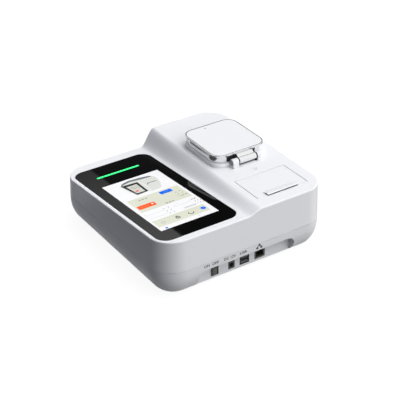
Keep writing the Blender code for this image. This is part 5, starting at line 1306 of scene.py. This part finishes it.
def make_dc():
    """A power inlet: a block with a flared round mouth and a pin."""
    low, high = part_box("dc_jack")
    jack = faced_plate("dc_inlet", low, high, PORT_CORNER)
    centre_x, _, centre_z = middle(low, high)
    hole, pin = [[(low[1] + depth, radius) for depth, radius in levels] for levels in (DC_MOUTH, DC_PIN)]
    cut(jack, turned("bore", "Y", hole, (centre_z, centre_x), PLAIN_SIDES))
    piece(jack, "case", "black_plastic", "dc_jack", look="port_plastic")
    piece(turned("dc_pin", "Y", pin, (centre_z, centre_x), PIN_SIDES), "case", "motor_case")


port_low, port_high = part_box("switch_housing")
rocker_low, rocker_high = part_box("switch_rocker")


def framed(inset_x, inset_z, near, far):
    """The two corners of a box within the switch's outline, from one depth to another."""
    low = (port_low[0] + inset_x, near, port_low[2] + inset_z)
    high = (port_high[0] - inset_x, far, port_high[2] - inset_z)
    return low, high


def make_switch():
    """The switch's housing: a bezel on a hollow body."""
    face = port_low[1]
    corners = framed(*BEZEL_TRIM, face, face + BEZEL_THICKNESS)
    bezel = faced_plate("switch_bezel", *corners, PORT_CORNER, BEZEL_EDGE, HAIR_EDGE, SHORT_STEPS)
    body = framed(SWITCH_BODY_INSET, SWITCH_BODY_INSET, face + SWITCH_BODY_DEPTH, port_high[1])
    unite(bezel, block("body", *body))
    room = framed(SWITCH_ROOM_INSET, SWITCH_ROOM_INSET, face - OVERRUN, face + SWITCH_ROOM_DEPTH)
    cut(bezel, block("room", *room))
    piece(bezel, "case", "black_plastic", "switch_housing", look="port_plastic")


def make_rocker():
    """The rocker at rest, its right end pressed in: two flats that meet in a crown, with raised ends."""
    profile = [(ROCKER_BACK, ROCKER_HALF)]
    for i in range(ROCKER_STEPS + 1):
        side = 1 - 2 * i / ROCKER_STEPS
        y = -ROCKER_FACE - ROCKER_CROWN * (1 - abs(side)) + ROCKER_LIP * abs(side) ** ROCKER_LIP_POWER
        profile.append((y, ROCKER_HALF * side))
    profile.append((ROCKER_BACK, -ROCKER_HALF))
    half_height = (rocker_high[2] - rocker_low[2]) / 2
    centre_x, _, centre_z = middle(port_low, port_high)
    rocker = prism("rocker", profile, -half_height, half_height, "Z", ROCKER_EDGE)
    stand = Matrix(((0, 1, 0, 0), (1, 0, 0, 0), (0, 0, 1, 0), (0, 0, 0, 1)))
    place = Matrix.Translation((centre_x, ROCKER_AXIS_Y, centre_z)) @ Matrix.Rotation(ROCKER_REST, 4, "Z")
    rocker.data.transform(place @ stand)
    rocker.data.flip_normals()
    piece(rocker, "rocker", "black_plastic", "switch_rocker", look="rocker_plastic")


make_usb()
make_lan()
make_dc()
make_switch()
make_rocker()

# Printed words beside the ports, each with the width it covers, and the network symbol
LABEL_DEPTH = 0.00003
LABEL_LOW_Z = 0.0369
LABEL_HEIGHT = 0.0040
WORD_BOLDNESS = 0.028
MERGE_DISTANCE = 0.0001
LABELS = {
    "ON": (-0.0688, -0.0603),
    "OFF": (-0.0566, -0.0465),
    "DC 12V": (-0.0385, -0.0202),
    "USB": (-0.0141, -0.0033),
}
NET_CENTRE = Vector((0.0164, 0.0390))
NET_BOX = (0.0017, 0.0014, 0.0002)
NET_BOXES = ((0, 0.0022), (-0.0032, -0.0022), (0.0032, -0.0022))
NET_LINES = (
    ((0, 0.0011), (0, 0)), ((-0.0035, 0), (0.0035, 0)), ((-0.0032, 0), (-0.0032, -0.0011)),
    ((0.0032, 0), (0.0032, -0.0011)),
)
NET_LINE_WIDTH = 0.0007
SYMBOL_CENTRE = (0.0711, -0.0441)
SYMBOL_FRAME = (0.0030, 0.0017, 0.0004)
SYMBOL_LINE = 0.0006
SYMBOL_SHEET = (0.0016, 0.0010, 0.0002)
SYMBOL_SHEET_DROP = 0.0022


def make_label(text, left, right):
    """A word printed on the port face, fitted to the width it covers."""
    curve = bpy.data.curves.new("word", "FONT")
    curve.body = text
    curve.resolution_u = LEAST_STEPS
    curve.offset = WORD_BOLDNESS
    word = bpy.data.objects.new("word", curve)
    bpy.context.scene.collection.objects.link(word)
    bpy.context.view_layer.update()
    mesh = bpy.data.meshes.new_from_object(word.evaluated_get(bpy.context.evaluated_depsgraph_get()))
    bpy.data.objects.remove(word)
    bm = bmesh.new()
    bm.from_mesh(mesh)
    bpy.data.meshes.remove(mesh)
    bmesh.ops.remove_doubles(bm, verts=bm.verts, dist=MERGE_DISTANCE)
    xs = [v.co.x for v in bm.verts]
    ys = [v.co.y for v in bm.verts]
    scale_x = (right - left) / (max(xs) - min(xs))
    scale_z = LABEL_HEIGHT / (max(ys) - min(ys))
    x0, y0 = min(xs), min(ys)
    for vert in bm.verts:
        vert.co = (left + (vert.co.x - x0) * scale_x, PORT_FACE_Y, LABEL_LOW_Z + (vert.co.y - y0) * scale_z)
    thicken(bm, bm.faces[:], (0, -LABEL_DEPTH, 0))
    piece(link("label_" + text.lower().replace(" ", "_"), bm), "case", "black_plastic", look="label_print")


for words, span in LABELS.items():
    make_label(words, *span)
net = [outline(*NET_BOX, PRINT_STEPS, NET_CENTRE + Vector(place)) for place in NET_BOXES]
for ends in NET_LINES:
    net += stroke([NET_CENTRE + Vector(point) for point in ends], NET_LINE_WIDTH)
net_symbol = flat_shapes("label_network", net, (PORT_FACE_Y, PORT_FACE_Y - LABEL_DEPTH), FACING)
piece(net_symbol, "case", "black_plastic", look="label_print")

# Faint paper symbol on the deck behind the door
symbol = ring_strip(outline(*SYMBOL_FRAME, PRINT_STEPS, SYMBOL_CENTRE), SYMBOL_LINE)
sheet_centre = (SYMBOL_CENTRE[0], SYMBOL_CENTRE[1] - SYMBOL_SHEET_DROP)
symbol.append(outline(*SYMBOL_SHEET, PRINT_STEPS, sheet_centre))
paper_symbol = flat_shapes("paper_symbol", symbol, (HIGH_DECK_HEIGHT, HIGH_DECK_HEIGHT + LABEL_DEPTH))
piece(paper_symbol, "case", "upper_case", look="faint_print")

# Cassette tray
TRAY_CORNER = 0.0057
LANE_PITCH = 0.0218
LANE_HALF = (0.0103, 0.0353)
LANE_DEPTH = 0.0053
LANE_CORNER = 0.0050
READ_SLOT_HALF = (0.0040, 0.0220)
READ_SLOT_CORNER = 0.0006


def make_tray():
    """The cassette tray: three lanes, each with a slot that the optics read through."""
    low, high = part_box("cassette_tray")
    levels = rounded_profile(low[2], high[2], SMALL_EDGE, SMALL_EDGE, LEAST_STEPS)
    tray = plate("cassette_lanes", LID_CENTRE, half_size(low, high), TRAY_CORNER, levels, SMALL_STEPS)
    lane = flared(high[2] - LANE_DEPTH, high[2], SMALL_EDGE)
    window = [(0, low[2] - OVERRUN), (0, high[2])]
    for step in (-1, 0, 1):
        centre = (LID_CENTRE[0] + step * LANE_PITCH, LID_CENTRE[1])
        cut(tray, plate("lane", centre, LANE_HALF, LANE_CORNER, lane, SMALL_STEPS))
        cut(tray, plate("read_slot", centre, READ_SLOT_HALF, READ_SLOT_CORNER, window, LEAST_STEPS))
    return tray


piece(make_tray(), "case", "dark_plastic", "cassette_tray")

# Platen roller, paper roll and feet
ROLLER_RADIUS = 0.0050
ROLLER_BORE = 0.0021
CORE_RADIUS = 0.0060
ROLL_TURNS = 12
ROLL_SIDES = 96
TURN_RELIEF = 0.00012
TURN_ANGLE = 2.4
FOOT_EDGE = 0.0005
roller_low, roller_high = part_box("platen_roller")
roller_levels = barrel_levels(roller_low[0], roller_high[0], ROLLER_RADIUS, SMALL_EDGE)
roller = turned("platen_rubber", "X", roller_levels, (PLATEN_Y, PLATEN_Z), FINE_SIDES)
bore(roller, (roller_low[0], roller_high[0]), ROLLER_BORE, (PLATEN_Y, PLATEN_Z))
piece(roller, "platen", "black_rubber", "platen_roller")


def make_paper_roll():
    """Wound paper on an open core: both ends show fine steps between the turns."""
    low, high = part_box("paper_roll")
    _, *place = middle(low, high)
    build = half_size(low, high)[2] - CORE_RADIUS
    rings = []
    for side, position in ((-1, low[0]), (1, high[0])):
        for k in range(ROLL_TURNS + 1):
            share = k / ROLL_TURNS if side < 0 else 1 - k / ROLL_TURNS
            wobble = TURN_RELIEF * math.sin(k * TURN_ANGLE) if 0 < k < ROLL_TURNS else 0
            end = position - side * (TURN_RELIEF + wobble)
            rings.append([(a, b, end) for a, b in circle(CORE_RADIUS + build * share, ROLL_SIDES, place)])
    bm = bmesh.new()
    made = skin(bm, rings, closed=False)
    for i in range(ROLL_SIDES):
        j = (i + 1) % ROLL_SIDES
        bm.faces.new((made[-1][i], made[-1][j], made[0][j], made[0][i]))
    return link("paper_wound", bm, AXIS_TURN["X"])


piece(make_paper_roll(), "paper", "paper", "paper_roll")
for foot_index in range(4):
    foot_place, foot_radius, foot_low, foot_high = upright(f"foot_{foot_index}")
    foot_levels = barrel_levels(foot_low, foot_high, foot_radius, FOOT_EDGE)
    foot = turned(f"foot_pad_{foot_index}", "Z", foot_levels, foot_place, PLAIN_SIDES)
    piece(foot, "case", "black_rubber", f"foot_{foot_index}")

# Carried-over parts take the look of their slot
slot_of = {row["node"]: row["material_slot"] for row in frame["record"]["subparts"]}
for name, node in frame["nodes"].items():
    if not node.hide_render:
        for place in node.material_slots:
            place.material = materials[slot_of[name]]

# Floor
FLOOR_REACH = 6.0
FLOOR_COLOUR = 0.15
FLOOR_GLOW = 0.92
FLOOR_BOUNCE = 0.04


def ray_is_seen(tree):
    """1 for rays from the camera and for mirror-like and see-through rays, 0 for all others."""
    path = tree.nodes.new("ShaderNodeLightPath")
    total = path.outputs["Is Camera Ray"]
    for name in ("Is Glossy Ray", "Is Transmission Ray"):
        add = tree.nodes.new("ShaderNodeMath")
        add.operation = "ADD"
        add.use_clamp = True
        tree.links.new(total, add.inputs[0])
        tree.links.new(path.outputs[name], add.inputs[1])
        total = add.outputs[0]
    return total


def by_ray(tree, socket, for_light, for_sight, data_type="RGBA"):
    """Feeds a socket one value for lighting rays and another for rays that see."""
    mix = add_mix(tree, ray_is_seen(tree), for_light, for_sight, data_type)
    tree.links.new(mix.outputs["Result"], socket)
    return mix


def make_floor():
    """A pale floor: what shows is nearly white by itself, and the light on it adds the rest."""
    bm = bmesh.new()
    bmesh.ops.create_grid(bm, x_segments=1, y_segments=1, size=FLOOR_REACH)
    floor = link("floor", bm)
    material, tree, shader = new_material("floor_look")
    bounce, pale = [(tone, tone, tone, 1) for tone in (FLOOR_BOUNCE, FLOOR_COLOUR)]
    by_ray(tree, shader.inputs["Base Color"], bounce, pale)
    by_ray(tree, shader.inputs["Emission Strength"], 0.0, FLOOR_GLOW, "FLOAT")
    settle(shader, {"Emission Color": (1, 1, 1, 1), "Roughness": 1.0, "Specular IOR Level": 0.0})
    floor.data.materials.append(material)


make_floor()

# Cards out of the camera's view, which only show as reflections
CAMERA_PLACE = (-0.7553, -1.1471, 0.8886)
CARD_REACH = 1.6
# Cards that the glass shows: two corners in the plane of the glass, glow at the near and at the far edge
MIRROR_CARDS = {
    "card_dark": ((-0.0925, -0.20), (0.16, 0.22), (0.01, 0.07)),
    "card_grey": ((-0.30, -0.20), (-0.0925, 0.22), (0.98, 0.04)),
}
FLAG_HEIGHT = 0.003
FLAG_GLOW = 0.05
FLOOR_FLAGS = {
    "flag_floor_left": ((-0.70, -0.30), (-0.16, 0.14)),
    "flag_floor_right": ((0.15, -0.10), (0.50, 0.60)),
}
# Standing flags: two ends on the floor, lowest and highest edge
WALL_FLAGS = {
    "flag_far_left": ((-1.60, 0.70), (-0.60, 1.60), -0.10, 0.36),
    "flag_near_left": ((-1.30, -0.35), (-0.85, -1.15), -0.10, 0.60),
}
# A dim sheet just above the valley of the step, seen only in reflections: painted shade that darkens the
# valley's gloss
VALLEY_SHADE_SHEET = ((-0.0110, 0.0120), (0.0005, 0.1150))
VALLEY_SHADE_SHEET_CLEARANCE = 0.0012
VALLEY_SHADE_SHEET_GLOWS = (0.04, 0.10)


def make_card(name, corners, near_glow, far_glow):
    """A studio card whose glow runs from its near edge to its far edge."""
    bm = bmesh.new()
    bm.faces.new([bm.verts.new(corner) for corner in corners])
    card = link(name, bm)
    material, tree, shader = new_material(name + "_look")
    settle(shader, {"Base Color": (0, 0, 0, 1), "Specular IOR Level": 0.0, "Emission Color": (1, 1, 1, 1)})
    glow = along_axis(tree, "Y", {"To Min": near_glow, "To Max": far_glow})
    tree.links.new(glow, shader.inputs["Emission Strength"])
    card.data.materials.append(material)
    card.visible_camera = False
    card.visible_diffuse = False
    card.visible_shadow = False
    card.visible_transmission = False
    card.visible_volume_scatter = False


def behind_mirror(x, y, reach):
    """The point that the touch glass shows at x, y of its plane. Its way from the camera, by the glass,
    is the camera's way to the glass times the reach."""
    spot = LOW_DECK_FRAME @ Vector((x, y / math.cos(LOW_DECK_TILT), 0))
    normal = LOW_DECK_FRAME.to_3x3() @ Vector((0, 0, 1))
    eye = Vector(CAMERA_PLACE)
    eye = eye - 2 * (eye - spot).dot(normal) * normal
    return eye + reach * (spot - eye)


for card_name, (low, high, glows) in MIRROR_CARDS.items():
    make_card(card_name, [behind_mirror(x, y, CARD_REACH) for x, y in rectangle(low, high)], *glows)
for flag_name, flag_corners in FLOOR_FLAGS.items():
    make_card(flag_name, [(x, y, FLAG_HEIGHT) for x, y in rectangle(*flag_corners)], FLAG_GLOW, FLAG_GLOW)
for flag_name, (start, end, low, high) in WALL_FLAGS.items():
    make_card(flag_name, [(*start, low), (*end, low), (*end, high), (*start, high)], FLAG_GLOW, FLAG_GLOW)
# The dim sheet over the step's valley is painted shade for that valley
valley = [(x, y, deck_height(x, y) + VALLEY_SHADE_SHEET_CLEARANCE) for x, y in rectangle(*VALLEY_SHADE_SHEET)]
make_card("painted_shade_valley", valley, *VALLEY_SHADE_SHEET_GLOWS)

# World and lamps
SKY_LEFT = (0.105, 0.114, 0.150, 1)
SKY_RIGHT = (0.260, 0.260, 0.265, 1)
# Soft distant lamps: the direction they stand in, strength, spread in degrees
SUNS = {
    "key": ((0.36, -0.70, 0.62), 2.50, 75),
    "top": ((0.33, 0.10, 0.94), 1.06, 40),
    "back": ((0.12, 0.97, 0.20), 0.85, 60),
}


def make_world():
    """White where it is seen, and for lighting a sky that is dimmer and cooler on the left."""
    world = bpy.data.worlds.new("studio")
    bpy.context.scene.world = world
    world.use_nodes = True
    tree = world.node_tree
    background = tree.nodes["Background"]
    sky = add_mix(tree, along_axis(tree, "X", {"From Min": -1.0, "From Max": 1.0}), SKY_LEFT, SKY_RIGHT)
    mix = by_ray(tree, background.inputs["Color"], (0, 0, 0, 1), (1, 1, 1, 1))
    tree.links.new(sky.outputs["Result"], mix.inputs["A"])


make_world()
for lamp_name, (towards, strength, degrees) in SUNS.items():
    lamp_data = bpy.data.lights.new(lamp_name, "SUN")
    lamp_data.energy = strength
    lamp_data.angle = math.radians(degrees)
    lamp = bpy.data.objects.new(lamp_name, lamp_data)
    lamp.rotation_euler = Vector(towards).to_track_quat("Z", "Y").to_euler()
    lamp.visible_glossy = False
    bpy.context.scene.collection.objects.link(lamp)

# Camera
CAMERA_DIRECTION = (0.4745, 0.7083, -0.5226)
CAMERA_LENS = 107.77
camera_data = bpy.data.cameras.new("camera")
camera_data.lens = CAMERA_LENS
camera = bpy.data.objects.new("camera", camera_data)
camera.location = CAMERA_PLACE
camera.rotation_euler = Vector(CAMERA_DIRECTION).to_track_quat("-Z", "Y").to_euler()
bpy.context.scene.collection.objects.link(camera)
bpy.context.scene.camera = camera
bpy.context.scene.view_settings.view_transform = "Standard"
